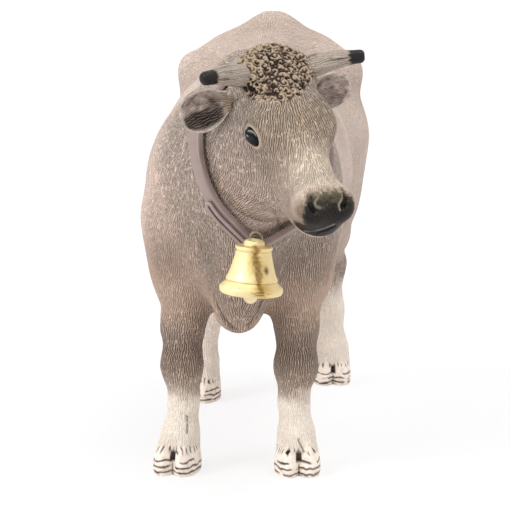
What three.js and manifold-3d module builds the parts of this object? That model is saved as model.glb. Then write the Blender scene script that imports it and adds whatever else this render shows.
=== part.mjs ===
// A standing toy cow with a leather-look collar and a brass-look bell, in millimetres.
// It faces -Y, +X is its left side, +Z is up, and its hooves stand on z = 0.
// The hide is one smooth field, cut at the seams into mouldings that plug together.
import * as THREE from "three";
import { mergeVertices } from "three/addons/utils/BufferGeometryUtils.js";
import Module from "manifold-3d";

const wasm = await Module();
wasm.setup();
const { Vector3, Matrix4, Euler } = THREE;
const radians = THREE.MathUtils.degToRad;

// Sizes that the whole figure shares.
const seamGap = 0.3; // clearance between mouldings
const overrun = 2; // how far a cutter runs past what it cuts
const filledDepth = 0.05; // how deep a corner lies that was filled to keep a skin whole
const sway = { rump: 1.4 }; // the rump leans to the figure's left
const swayShares = { from: 0.05, to: 0.4 }; // where that starts and ends, of the trunk's length
const standCentre = { x: 1.25, y: -0.95 }; // middle of the figure's outline on the floor

// Trunk. Shares are of halfWidth across, length along and height up.
const trunk = { halfWidth: 21, length: 100, height: 84, blend: 6, legBlend: 4, cell: 3 };
const trunkSpaceShares = { low: [-1.24, -0.54, 0.26], high: [1.24, 0.66, 1.05] };
const headSpaceShares = { low: [-0.86, -0.74, 0.43], high: [1.34, -0.24, 1.05] };
const trunkFormShares = {
  barrel: { at: [0, 0.06, 0.635], size: [0.93, 0.36, 0.26] },
  belly: { at: [0, 0.13, 0.55], size: [0.78, 0.26, 0.19] },
  chest: { at: [0, -0.2, 0.6], size: [0.7, 0.17, 0.25] },
  shoulder: { at: [0.5, -0.18, 0.555], size: [0.385, 0.13, 0.2] },
  rump: { at: [0, 0.36, 0.71], size: [0.84, 0.19, 0.235] },
  haunch: { at: [0.52, 0.37, 0.68], size: [0.44, 0.16, 0.17] },
  thigh: { at: [0.46, 0.38, 0.53], size: [0.34, 0.13, 0.16] },
  pinBone: { at: [0.34, 0.5, 0.84], size: [0.2, 0.06, 0.07] },
};
// The spine's nodes: along, up, radius. Then the hip bar's: across, along, up, radius.
const spineShares = [
  [-0.15, 0.86, 0.2],
  [0.08, 0.85, 0.19],
  [0.28, 0.88, 0.18],
  [0.42, 0.93, 0.17],
  [0.52, 0.94, 0.15],
];
const hipShares = [
  [0, 0.4, 0.93, 0.2],
  [0.42, 0.38, 0.885, 0.2],
  [0.74, 0.34, 0.855, 0.2],
];
const spineBlend = 5;

// Neck, which bends to the figure's left. Nodes: across, along, up, radius.
const neck = { blend: 6 };
const neckShares = [
  [0, -0.2, 0.68, 0.68],
  [0.12, -0.3, 0.7, 0.58],
  [0.28, -0.38, 0.725, 0.5],
];
const throatShares = [
  [0, -0.28, 0.5, 0.46],
  [0.14, -0.36, 0.61, 0.34],
  [0.34, -0.42, 0.68, 0.31],
];
const crestShares = [
  [0, -0.14, 0.86, 0.22],
  [0.14, -0.26, 0.84, 0.23],
  [0.28, -0.36, 0.83, 0.25],
];
const brisketShares = [
  [0.12, -0.4, 0.5, 0.2],
  [0.06, -0.385, 0.43, 0.2],
  [0.03, -0.355, 0.375, 0.16],
  [0.01, -0.28, 0.375, 0.15],
];
const brisketBlend = 4;

// Legs. footShare is of the trunk's length. A node is out, back, stride, up and thickness: shares of the
// leg's spread, height, stride, height and thickness.
const foreleg = {
  spread: 10.8, footShare: -0.305, stride: 0.5, height: 47, thickness: 8, hoofOutShare: 1.03,
  blend: 2.5, cell: 1.9, seamHeight: 29.5, seamInner: 5.4, seamReach: 14, seamBack: 5.3,
  seamStrideShare: 0, seatBack: 5.3, seatStrideShare: 0, seatOutShare: 0.98,
};
const forelegShares = [
  [1, 0.13, 0, 1, 0.85],
  [0.98, 0.16, 0, 0.75, 0.66],
  [0.99, 0.1, 0.3, 0.575, 0.46],
  [0.99, 0.06, 0.6, 0.41, 0.44],
  [0.96, 0.055, 0.9, 0.27, 0.31],
  [1, 0.035, 1, 0.14, 0.38],
  [1.02, -0.005, 1, 0.075, 0.42],
];
const hindleg = {
  spread: 13.8, footShare: 0.435, stride: 10.5, height: 58, thickness: 9.5, hoofOutShare: 1,
  blend: 3, cell: 1.9, seamHeight: 31, seamInner: 7.4, seamReach: 14, seamBack: 0.3,
  seamStrideShare: 0.64, seatBack: -1.2, seatStrideShare: 0.5, seatOutShare: 0.945,
};
const hindlegShares = [
  [0.9, -0.06, 0.1, 0.97, 0.9],
  [0.94, -0.2, 0.3, 0.76, 0.62],
  [0.95, -0.07, 0.55, 0.61, 0.47],
  [0.94, 0.078, 0.76, 0.465, 0.36],
  [0.96, 0.052, 0.86, 0.29, 0.29],
  [1, 0.02, 0.97, 0.12, 0.34],
  [1, -0.01, 1, 0.065, 0.4],
];
const hoof = { width: 8.7, length: 11, height: 5.4, toeOut: 8, blend: 0.5 };
// A claw's centre and radii as shares of the hoof's width, length and height, and the dewclaw's.
const clawShares = { at: [0.245, -0.05, 0.22], size: [0.25, 0.5, 0.92] };
const dewclawShares = { at: [0.18, 0.33, 1.45], size: [0.11, 0.12, 0.22] };

// Head. It stands at atShares of the trunk. In its own frame it faces -Y too, and the shares of its forms
// are of halfWidth, length and depth.
const head = {
  atShares: [0.2857, -0.43, 0.9107], yaw: 34, pitch: 49, roll: -10,
  halfWidth: 8, length: 34.3, depth: 14, blend: 2.5, neckBlend: 5, cell: 1.45,
};
const headFormShares = {
  cranium: { at: [0, -0.2, -0.07], size: [0.86, 0.25, 0.5] },
  poll: { at: [0, -0.07, 0.05], size: [0.78, 0.15, 0.34] },
  brow: { at: [0.6, -0.41, 0.08], size: [0.34, 0.125, 0.22] },
  forehead: { at: [0, -0.39, 0], size: [0.82, 0.26, 0.41] },
  cheek: { at: [0.5, -0.38, -0.45], size: [0.42, 0.26, 0.5] },
  bridge: { at: [0, -0.65, -0.03], size: [0.5, 0.3, 0.31] },
  midface: { at: [0, -0.6, -0.33], size: [0.56, 0.3, 0.34] },
  muzzle: { at: [0, -0.865, -0.08], size: [0.6, 0.13, 0.31] },
  nostrilWing: { at: [0.36, -0.915, 0.06], size: [0.25, 0.07, 0.155] },
  lip: { at: [0, -0.86, -0.28], size: [0.48, 0.12, 0.17] },
  jaw: { at: [0, -0.55, -0.62], size: [0.42, 0.32, 0.26] },
  hornBase: { at: [0.66, -0.12, 0.14], size: [0.26, 0.08, 0.17] },
};
const nostrilShares = { at: [0.36, -0.93, 0.2], size: [0.12, 0.065, 0.1] };
const eye = {
  alongShare: -0.43, upShare: 0.03, radii: [1.3, 1.9, 1.6], tilt: 14, sunk: 0.85, clearance: 0.25,
};

// Horns and ears, in the head's frame and by the same shares. A horn node ends with its radius as a share
// of halfWidth.
const hornShares = [
  [0.52, -0.115, 0.18, 0.2],
  [0.7, -0.12, 0.215, 0.2],
  [0.88, -0.124, 0.26, 0.26],
  [1.15, -0.133, 0.33, 0.235],
  [1.42, -0.145, 0.39, 0.2],
  [1.66, -0.16, 0.44, 0.165],
  [1.84, -0.172, 0.475, 0.15],
  [1.9, -0.176, 0.485, 0.09],
];
const hornSides = 12;
const ear = {
  rootShares: [0.96, -0.13, -0.2], tipShares: [2.02, -0.14, -0.45], facing: { left: 22, right: 40 },
  width: 4, thickness: 0.9, cup: 2, rootRadius: 1.9, plugRadius: 1.3, plugShares: [-0.3, 0.16], sides: 7,
};
const earWidthShares = [
  [0, 0.46],
  [0.12, 0.62],
  [0.3, 0.88],
  [0.5, 1],
  [0.7, 0.96],
  [0.86, 0.74],
  [0.96, 0.42],
  [1, 0.18],
];

// Tail and udder, by the trunk's shares. A tail node ends with its radius as a share of halfWidth.
const tailShares = [
  [0.05, 0.49, 0.905, 0.1],
  [0.05, 0.545, 0.915, 0.105],
  [0.05, 0.58, 0.885, 0.095],
  [0.055, 0.595, 0.81, 0.075],
  [0.055, 0.6, 0.66, 0.06],
  [0.055, 0.6, 0.52, 0.055],
  [0.055, 0.6, 0.45, 0.065],
  [0.055, 0.6, 0.37, 0.11],
  [0.055, 0.6, 0.29, 0.1],
  [0.055, 0.598, 0.21, 0.02],
];
const tailSides = 8;
const udderShares = { at: [0.04, 0.285, 0.355], size: [0.28, 0.09, 0.075] };
const teat = {
  acrossShare: 0.11, alongShares: [0.25, 0.31], topShare: 0.32, tipShare: 0.265, radius: 0.9, tipRadius: 0.65,
};

// Collar, at atShares of the trunk. Its frame's z axis runs up the neck; the strap is a band about it.
const collar = {
  atShares: [0.2476, -0.362, 0.7286], yaw: 24, lift: 27,
  width: 3.2, thickness: 1.1, groove: 0.5, stations: 52, reach: 26,
};

// Bell. Its frame stands on the rim's plane, with x along its pin, to the rear. The pin's place is counted
// from the foot of the hanger's tab. Profile points are shares of rimRadius and height.
const bell = {
  pinFromFoot: [0.307, -3.42, 2.839], lean: 4, rimRadius: 5.55, height: 9.6, sides: 28,
  eyeOut: 3.15, eyeHeight: 9.3, eyeRadius: 0.9, eyeThickness: 0.35, eyeFootShare: 0.83,
  barHeight: 5.8, barRadius: 0.36, barReach: 2.9,
};
const bellProfileShares = [
  [0, 1],
  [0.19, 0.985],
  [0.31, 0.95],
  [0.35, 0.88],
  [0.57, 0.865],
  [0.585, 0.82],
  [0.56, 0.785],
  [0.59, 0.68],
  [0.65, 0.54],
  [0.73, 0.38],
  [0.82, 0.26],
  [0.8, 0.23],
  [0.88, 0.18],
  [0.99, 0.12],
  [1, 0.05],
  [0.95, 0],
  [0.82, 0],
  [0.72, 0.18],
  [0.6, 0.4],
  [0.5, 0.6],
  [0.45, 0.76],
  [0, 0.79],
];
const clapper = { ringRadius: 1.06, ringThickness: 0.36, stemRadius: 0.42, ballRadius: 1.3, ballDrop: 0.6 };
const hanger = {
  from: -46, to: -16.5, halfWidth: 0.8, bandWidth: 0.75, height: 0.65, steps: 7, endSteps: 3,
  tabWidth: 2.2, tabThickness: 0.8, pinRadius: 0.25, pinBack: 1.4, pinFront: 0.98,
  headRadius: 0.68, headLength: 0.3,
};

// Pegs and their sockets. A peg stands on its moulding and goes into the next one.
const peg = { radius: 2.1, length: 3.2 };
const neckPeg = { radius: 5, length: 5 };

// What the pieces are made of.
const finishes = {
  hide: { color: 0xc4ad9e, roughness: 0.75, metalness: 0 },
  horn: { color: 0x9a9080, roughness: 0.6, metalness: 0 },
  eye: { color: 0x141312, roughness: 0.12, metalness: 0 },
  udderSkin: { color: 0xd9b3a2, roughness: 0.6, metalness: 0 },
  leather: { color: 0xa28d89, roughness: 0.45, metalness: 0 },
  gold: { color: 0xe9d29a, roughness: 0.35, metalness: 0.4 },
};

const wholeTurn = 2 * Math.PI;

// Fields. A field takes a point and gives its distance to a form, below zero inside it.

function ellipsoid(centre, radii) {
  const [cx, cy, cz] = centre;
  const [rx, ry, rz] = radii;
  return (x, y, z) => {
    const u = (x - cx) / rx, v = (y - cy) / ry, w = (z - cz) / rz;
    const near = Math.hypot(u, v, w);
    const slope = Math.hypot(u / rx, v / ry, w / rz);
    return slope === 0 ? -Math.min(rx, ry, rz) : (near * (near - 1)) / slope;
  };
}

// A tapered rod with round ends. A node is x, y, z and radius.
function rod([ax, ay, az, ar], [bx, by, bz, br]) {
  const dx = bx - ax, dy = by - ay, dz = bz - az;
  const squared = dx * dx + dy * dy + dz * dz;
  return (x, y, z) => {
    const px = x - ax, py = y - ay, pz = z - az;
    const along = Math.min(1, Math.max(0, (px * dx + py * dy + pz * dz) / squared));
    return Math.hypot(px - along * dx, py - along * dy, pz - along * dz) - ar - along * (br - ar);
  };
}

function softMin(a, b, blend) {
  const near = Math.max(0, blend - Math.abs(a - b));
  return Math.min(a, b) - (near * near) / (4 * blend);
}

const join = (fields, blend) => (x, y, z) =>
  fields.reduce((least, field) => softMin(least, field(x, y, z), blend), Infinity);

const chain = (nodes, blend) => join(nodes.slice(1).map((node, i) => rod(nodes[i], node)), blend);

// field, standing in a frame of its own.
function placed(field, frame) {
  const inverse = frame.clone().invert();
  const point = new Vector3();
  return (x, y, z) => {
    point.set(x, y, z).applyMatrix4(inverse);
    return field(point.x, point.y, point.z);
  };
}

// Both twins of a form that stands off the centre line.
const twins = ({ at, size }, scale) =>
  (at[0] ? [1, -1] : [0]).map((side) => {
    const [across, along, up] = at.map((share, i) => share * scale[i]);
    return ellipsoid([side * across, along, up], size.map((share, i) => share * scale[i]));
  });

const trunkScale = [trunk.halfWidth, trunk.length, trunk.height];
const headScale = [head.halfWidth, head.length, head.depth];
const onTrunk = (shares) => shares.map((share, i) => share * trunkScale[i]);
const trunkNode = ([across, along, up, radius]) =>
  [...onTrunk([across, along, up]), radius * trunk.halfWidth];
const footAt = (leg) => leg.footShare * trunk.length;

function legNodes(leg, shares, side) {
  return shares.map(([out, back, stride, up, thick]) => [
    side * out * leg.spread,
    footAt(leg) + back * leg.height + side * stride * leg.stride,
    up * leg.height,
    thick * leg.thickness,
  ]);
}

function hoofField(leg, side) {
  const scale = [hoof.width, hoof.length, hoof.height];
  const claws = join(twins(clawShares, scale), hoof.blend);
  const dewclaws = join(twins(dewclawShares, scale), hoof.blend);
  const turn = new Matrix4().makeRotationZ(side * radians(hoof.toeOut));
  const frame = turn.setPosition(side * leg.spread * leg.hoofOutShare, footAt(leg) + side * leg.stride, 0);
  return placed(join([claws, dewclaws], hoof.blend), frame);
}

const headFrame = new Matrix4()
  .makeRotationFromEuler(new Euler(radians(head.pitch), radians(head.roll), radians(head.yaw), "ZXY"))
  .setPosition(...onTrunk(head.atShares));

const headField = () =>
  join(Object.values(headFormShares).flatMap((form) => twins(form, headScale)), head.blend);

function hideField() {
  const forms = Object.values(trunkFormShares).flatMap((form) => twins(form, trunkScale));
  const spine = chain(spineShares.map((node) => trunkNode([0, ...node])), spineBlend);
  const neckRods = [neckShares, throatShares, crestShares]
    .map((shares) => chain(shares.map(trunkNode), neck.blend));
  const hips = [1, -1].map((side) =>
    chain(hipShares.map(([across, ...rest]) => trunkNode([side * across, ...rest])), spineBlend));
  const brisket = chain(brisketShares.map(trunkNode), brisketBlend);
  const front = join([join(forms, trunk.blend), join(neckRods, neck.blend)], neck.blend);
  const straight = join([front, spine, ...hips, brisket], spineBlend);
  const lean = (y) => {
    const share = (y / trunk.length - swayShares.from) / (swayShares.to - swayShares.from);
    return sway.rump * Math.min(1, Math.max(0, share));
  };
  const body = (x, y, z) => straight(x - lean(y), y, z);
  const legs = [1, -1].flatMap((side) => [
    [foreleg, forelegShares],
    [hindleg, hindlegShares],
  ].map(([leg, shares]) =>
    join([chain(legNodes(leg, shares, side), leg.blend), hoofField(leg, side)], leg.blend / 2)));
  return join([join([body, ...legs], trunk.legBlend), placed(headField(), headFrame)], head.neckBlend);
}

const cubeCorners = [0, 1, 2, 3, 4, 5, 6, 7].map((n) => [n & 1, (n >> 1) & 1, n >> 2]);

// Fills the corners where two sheets of the surface would meet in one edge or point, so that it stays one
// skin.
function partCrossings(values, count) {
  const steps = [1, count[0], count[0] * count[1]];
  const fill = (group) => {
    const nearest = group.reduce((best, one) => (values[one] < values[best] ? one : best));
    values[nearest] = -filledDepth;
  };
  let found = true;
  while (found) {
    found = false;
    for (let k = 0; k < count[2] - 1; k++)
      for (let j = 0; j < count[1] - 1; j++)
        for (let i = 0; i < count[0] - 1; i++) {
          const here = (k * count[1] + j) * count[0] + i;
          const inside = (one) => values[one] < 0;
          for (const [u, v] of [[0, 1], [1, 2], [0, 2]]) {
            const [a, b, c, d] = [here, here + steps[u], here + steps[u] + steps[v], here + steps[v]];
            if (inside(a) === inside(c) && inside(b) === inside(d) && inside(a) !== inside(b)) {
              fill(inside(a) ? [b, d] : [a, c]);
              found = true;
            }
          }
          const cube = cubeCorners.map((corner) =>
            corner.reduce((sum, place, axis) => sum + place * steps[axis], here));
          const within = cube.filter(inside);
          const without = cube.filter((one) => !inside(one));
          for (const pair of [within, without])
            if (pair.length === 2 && cube.indexOf(pair[0]) + cube.indexOf(pair[1]) === 7) {
              fill(pair === within ? without : pair);
              found = true;
            }
        }
  }
}

// Moves a point near the field's surface onto it, by no more than half a cell.
function settle(field, point, cell) {
  const step = cell / 20;
  const value = field(point.x, point.y, point.z);
  const slope = new Vector3(
    field(point.x + step, point.y, point.z) - field(point.x - step, point.y, point.z),
    field(point.x, point.y + step, point.z) - field(point.x, point.y - step, point.z),
    field(point.x, point.y, point.z + step) - field(point.x, point.y, point.z - step),
  ).divideScalar(2 * step);
  const move = -value / Math.max(slope.lengthSq(), 1 / 4);
  const most = cell / 2;
  return Math.abs(move) > most ? point : point.addScaledVector(slope, move);
}

// Surface nets: the field's zero surface between two corners, as an indexed geometry with cells of one size.
function skin(field, low, high, cell) {
  const count = low.map((edge, i) => Math.ceil((high[i] - edge) / cell) + 1);
  const index = (i, j, k) => (k * count[1] + j) * count[0] + i;
  const values = new Float64Array(count[0] * count[1] * count[2]);
  const at = (i, j, k) => [low[0] + i * cell, low[1] + j * cell, low[2] + k * cell];
  for (let k = 0; k < count[2]; k++)
    for (let j = 0; j < count[1]; j++)
      for (let i = 0; i < count[0]; i++) {
        const edge = [i, j, k].some((n, axis) => n === 0 || n === count[axis] - 1);
        const value = field(...at(i, j, k));
        values[index(i, j, k)] = edge ? Math.max(value, cell / 2) : value;
      }
  partCrossings(values, count);
  const edges = cubeCorners.flatMap((a, i) => cubeCorners.slice(i + 1).map((b) => [a, b]))
    .filter(([a, b]) => a.filter((place, axis) => place !== b[axis]).length === 1);
  const vertexOf = new Map();
  const positions = [];
  for (let k = 0; k < count[2] - 1; k++)
    for (let j = 0; j < count[1] - 1; j++)
      for (let i = 0; i < count[0] - 1; i++) {
        const sum = new Vector3();
        let crossings = 0;
        for (const [a, b] of edges) {
          const va = values[index(i + a[0], j + a[1], k + a[2])];
          const vb = values[index(i + b[0], j + b[1], k + b[2])];
          if (va < 0 === vb < 0) continue;
          const t = va / (va - vb);
          const start = at(i + a[0], j + a[1], k + a[2]);
          const end = at(i + b[0], j + b[1], k + b[2]);
          sum.add(new Vector3(...start).lerp(new Vector3(...end), t));
          crossings++;
        }
        if (!crossings) continue;
        sum.divideScalar(crossings);
        vertexOf.set(index(i, j, k), positions.length / 3);
        positions.push(...settle(field, sum, cell).toArray());
      }
  const faces = [];
  const quad = (inside, a, b, c, d) => {
    const ring = inside ? [a, b, c, d] : [d, c, b, a];
    const [p, q, r, s] = ring.map((cellIndex) => vertexOf.get(cellIndex));
    const halfway = (from, to) => [0, 1, 2].map((n) => (positions[3 * from + n] + positions[3 * to + n]) / 2);
    const depth = (from, to) => Math.abs(field(...halfway(from, to)));
    if (depth(p, r) < depth(q, s)) faces.push(p, q, r, p, r, s);
    else faces.push(p, q, s, q, r, s);
  };
  for (let k = 0; k < count[2] - 1; k++)
    for (let j = 0; j < count[1] - 1; j++)
      for (let i = 0; i < count[0] - 1; i++) {
        const here = values[index(i, j, k)] < 0;
        if (j && k && here !== values[index(i + 1, j, k)] < 0)
          quad(here, index(i, j - 1, k - 1), index(i, j, k - 1), index(i, j, k), index(i, j - 1, k));
        if (i && k && here !== values[index(i, j + 1, k)] < 0)
          quad(here, index(i - 1, j, k - 1), index(i - 1, j, k), index(i, j, k), index(i, j, k - 1));
        if (i && j && here !== values[index(i, j, k + 1)] < 0)
          quad(here, index(i - 1, j - 1, k), index(i, j - 1, k), index(i, j, k), index(i - 1, j, k));
      }
  return geometryOf(positions, faces);
}

function geometryOf(positions, faces) {
  const geometry = new THREE.BufferGeometry();
  geometry.setAttribute("position", new THREE.Float32BufferAttribute(positions, 3));
  return geometry.setIndex(faces);
}

// A closed tube through rings of points. With closed set, the last ring meets the first.
function loft(rings, closed) {
  const sides = rings[0].length;
  const positions = rings.flat().flatMap((point) => point.toArray());
  const faces = [];
  const spans = closed ? rings.length : rings.length - 1;
  for (let i = 0; i < spans; i++)
    for (let j = 0; j < sides; j++) {
      const next = (i + 1) % rings.length;
      const a = i * sides + j, b = i * sides + ((j + 1) % sides);
      const c = next * sides + ((j + 1) % sides), d = next * sides + j;
      faces.push(a, b, c, a, c, d);
    }
  if (!closed)
    for (const [ring, turned] of [[0, true], [rings.length - 1, false]]) {
      const centre = rings[ring].reduce((sum, point) => sum.add(point), new Vector3()).divideScalar(sides);
      const middle = positions.length / 3;
      positions.push(...centre.toArray());
      for (let j = 0; j < sides; j++) {
        const a = ring * sides + j, b = ring * sides + ((j + 1) % sides);
        faces.push(...(turned ? [middle, b, a] : [middle, a, b]));
      }
    }
  return geometryOf(positions, faces);
}

// The solid of a geometry, whichever way round its faces are wound.
function solidOf(geometry) {
  const flat = geometry.clone();
  flat.deleteAttribute("normal");
  flat.deleteAttribute("uv");
  const merged = mergeVertices(flat, 1e-3);
  const vertProperties = merged.attributes.position.array;
  const make = (triVerts) => new wasm.Manifold(new wasm.Mesh({ numProp: 3, vertProperties, triVerts }));
  const triVerts = new Uint32Array(merged.index.array);
  const solid = make(triVerts);
  return solid.volume() > 0 ? solid : make(triVerts.reverse());
}

const boxSolid = (low, high) =>
  solidOf(new THREE.BoxGeometry(...high.map((edge, i) => edge - low[i]))
    .translate(...high.map((edge, i) => (edge + low[i]) / 2)));

// A round bar from one point to another, with a radius at each end.
function barSolid(from, to, radius, endRadius = radius, sides = 14) {
  const axis = new Vector3().subVectors(to, from);
  const turn = new THREE.Quaternion().setFromUnitVectors(new Vector3(0, 1, 0), axis.clone().normalize());
  const middle = new Vector3().addVectors(from, to).multiplyScalar(1 / 2);
  return solidOf(new THREE.CylinderGeometry(endRadius, radius, axis.length(), sides)
    .applyQuaternion(turn).translate(...middle.toArray()));
}

const ballSolid = (centre, radii, sides = 14) =>
  solidOf(new THREE.SphereGeometry(1, sides, sides / 2).scale(...radii).translate(...centre));

// A ring of round section about an axis along x.
const ringSolid = (centre, radius, thickness, sides = 16) =>
  solidOf(new THREE.TorusGeometry(radius, thickness, sides / 2, sides)
    .rotateY(wholeTurn / 4).translate(...centre));

// A solid turned about the z axis from a profile of [radius, height] pairs, listed upwards on the outside.
const turned = (profile, sides) =>
  solidOf(new THREE.LatheGeometry(profile.map((place) => new THREE.Vector2(...place)), sides)
    .rotateX(wholeTurn / 4));

const largest = (solid) =>
  solid.decompose().reduce((best, body) => (body.volume() > best.volume() ? body : best));

const root = new THREE.Group();

function geometryOfSolid(solid) {
  const { numVert, numProp, vertProperties, triVerts } = solid.getMesh();
  const positions = [];
  for (let i = 0; i < numVert; i++)
    positions.push(...vertProperties.subarray(i * numProp, i * numProp + 3));
  return geometryOf(positions, [...triVerts]);
}

// Merging and parting twice drops the slivers that a cut leaves.
function addPart(name, solid, finish) {
  const clean = largest(solidOf(geometryOfSolid(largest(solid))));
  const mesh = new THREE.Mesh(geometryOfSolid(clean), new THREE.MeshStandardMaterial(finish));
  mesh.name = name;
  mesh.position.set(-standCentre.x, -standCentre.y, 0);
  root.add(mesh);
}

const hide = hideField();
const sideNames = [["left", 1], ["right", -1]];

// The collar's frame, and places round it.
const collarFrame = new Matrix4()
  .makeRotationFromEuler(new Euler(radians(90 - collar.lift), 0, radians(collar.yaw), "ZXY"))
  .setPosition(...onTrunk(collar.atShares));
const onCollar = (turn, radius, along) =>
  new Vector3(radius * Math.sin(turn), -radius * Math.cos(turn), along).applyMatrix4(collarFrame);

// The hide's radius about the neck, at one turn and height of the collar's frame.
function neckRadius(turn, along) {
  let inside = 0;
  let outside = collar.reach;
  for (let halving = 0; halving < 24; halving++) {
    const middle = (inside + outside) / 2;
    if (hide(...onCollar(turn, middle, along).toArray()) < 0) inside = middle;
    else outside = middle;
  }
  return inside;
}

// The strap's radius at its two edges. It hangs: on the crest it lies on the neck, and under the throat its
// head side stands off by as much as the neck narrows there.
function bandRadii(turn) {
  const low = neckRadius(turn, -collar.width / 2), high = neckRadius(turn, collar.width / 2);
  const hang = ((1 + Math.cos(turn)) / 2) ** 2;
  return [low, high + hang * Math.max(0, low - high)];
}

// A band about the neck, from one depth to another beyond the hide.
function bandSolid(inner, outer, halfWidth) {
  const rings = Array.from({ length: collar.stations }, (_, i) => {
    const turn = (i / collar.stations) * wholeTurn;
    const [low, high] = bandRadii(turn);
    return [
      onCollar(turn, low + inner, -halfWidth), onCollar(turn, low + outer, -halfWidth),
      onCollar(turn, high + outer, halfWidth), onCollar(turn, high + inner, halfWidth),
    ];
  });
  return solidOf(loft(rings, true));
}

// A peg, or with a clearance the socket that it goes into.
const pegAlong = (from, direction, { radius, length } = peg, clearance = 0) => {
  const start = from.clone().addScaledVector(direction, -overrun);
  const end = from.clone().addScaledVector(direction, length + clearance);
  return barSolid(start, end, radius + clearance);
};

// Legs. Each gives its moulding and the cutter that makes room for it in the torso.
function legSolids(leg, side) {
  const middle = footAt(leg) + side * leg.stride * leg.seamStrideShare + leg.seamBack;
  const seatMiddle = footAt(leg) + side * leg.stride * leg.seatStrideShare + leg.seatBack;
  const [lowX, highX] = [side * leg.seamInner, side * (trunk.halfWidth + overrun)].sort((a, b) => a - b);
  const low = [lowX, middle - leg.seamReach, 0];
  const high = [highX, middle + leg.seamReach, leg.seamHeight];
  const surface = skin(hide, low.map((edge) => edge - overrun), high.map((edge) => edge + overrun), leg.cell);
  const seat = new Vector3(side * leg.spread * leg.seatOutShare, seatMiddle, leg.seamHeight);
  const up = new Vector3(0, 0, 1);
  const moulding = largest(solidOf(surface).intersect(boxSolid(low, high))).add(pegAlong(seat, up));
  const cutter = boxSolid(low.map((edge) => edge - seamGap), high.map((edge) => edge + seamGap))
    .add(pegAlong(seat, up, peg, seamGap));
  return { moulding, cutter };
}

const legs = [["foreleg", foreleg], ["hindleg", hindleg]].flatMap(([kind, leg]) =>
  sideNames.map(([name, side]) => ({ name: `${kind}_${name}`, ...legSolids(leg, side) })));

// Lengthens a run of centres at its root, so that a cutter reaches past the end of its piece.
function extendRoot(centres, spare) {
  const back = new Vector3().subVectors(centres[0], centres[1]).normalize();
  centres[0].addScaledVector(back, spare);
  return centres;
}

// Horns.
const inHead = (across, along, up) =>
  new Vector3(across * head.halfWidth, along * head.length, up * head.depth).applyMatrix4(headFrame);

function hornSolid(side, spare = 0, nodes = hornShares) {
  const centres = extendRoot(nodes.map(([across, along, up]) => inHead(side * across, along, up)), spare);
  const rings = nodes.map(([, , , share], i) => {
    const before = centres[Math.max(0, i - 1)], after = centres[Math.min(nodes.length - 1, i + 1)];
    const axis = new Vector3().subVectors(after, before).normalize();
    const first = new Vector3(0, 0, 1).cross(axis).normalize();
    const second = new Vector3().crossVectors(axis, first);
    return Array.from({ length: hornSides }, (_, j) => {
      const turn = (j / hornSides) * wholeTurn;
      const radius = share * head.halfWidth + spare;
      return centres[i].clone()
        .addScaledVector(first, radius * Math.cos(turn)).addScaledVector(second, radius * Math.sin(turn));
    });
  });
  return solidOf(loft(rings, false));
}

// Ears, cupped and hanging a little, each with a root that plugs into the head.
function earPlace(side, share) {
  const [root, tip] = [ear.rootShares, ear.tipShares]
    .map(([across, along, up]) => inHead(side * across, along, up));
  return root.lerp(tip, share);
}

function earSolid(side, spare = 0) {
  const root = earPlace(side, 0), tip = earPlace(side, 1);
  const axis = new Vector3().subVectors(tip, root).normalize();
  const facing = side > 0 ? ear.facing.left : ear.facing.right;
  const front = new Vector3(0, -1, 0).applyAxisAngle(new Vector3(1, 0, 0), radians(-facing))
    .transformDirection(headFrame);
  front.addScaledVector(axis, -front.dot(axis)).normalize();
  const across = new Vector3().crossVectors(axis, front).normalize();
  const centres = extendRoot(earWidthShares.map(([share]) => earPlace(side, share)), spare);
  const rings = earWidthShares.map(([share, widthShare], i) => {
    const centre = centres[i];
    const depth = ear.cup * Math.sin(share * Math.PI);
    const arc = (out) => Array.from({ length: ear.sides }, (_, j) => {
      const place = THREE.MathUtils.lerp(-1, 1, j / (ear.sides - 1));
      const halfThickness = Math.sqrt(1 - (place * place) / 2) * ear.thickness / 2;
      return centre.clone()
        .addScaledVector(across, place * (ear.width * widthShare + spare))
        .addScaledVector(front, -depth * (1 - place * place) - out * (halfThickness + spare));
    });
    return [...arc(1), ...arc(-1).reverse()];
  });
  return solidOf(loft(rings, false)).add(earRoot(side, spare));
}

function earRoot(side, spare) {
  const [from, to] = extendRoot(ear.plugShares.map((share) => earPlace(side, share)), spare);
  return barSolid(from, to, ear.plugRadius + spare, ear.rootRadius + spare, 12);
}

// Eyes. Each sits in a socket at the face's surface.
function faceReach(along, up) {
  const face = headField();
  let inside = 0;
  let outside = 2 * head.halfWidth;
  for (let halving = 0; halving < 24; halving++) {
    const middle = (inside + outside) / 2;
    if (face(middle, along, up) < 0) inside = middle;
    else outside = middle;
  }
  return inside;
}

function eyeSolid(side, spare = 0) {
  const along = eye.alongShare * head.length, up = eye.upShare * head.depth;
  const frame = new Matrix4().makeRotationX(radians(-eye.tilt))
    .setPosition(side * (faceReach(along, up) - eye.sunk), along, up).premultiply(headFrame);
  return ballSolid([0, 0, 0], eye.radii.map((radius) => radius + spare)).transform(frame.elements);
}

function nostrilSolid(side) {
  const [across, ...rest] = nostrilShares.at.map((share, i) => share * headScale[i]);
  return ballSolid([side * across, ...rest], nostrilShares.size.map((share, i) => share * headScale[i]))
    .transform(headFrame.elements);
}

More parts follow.
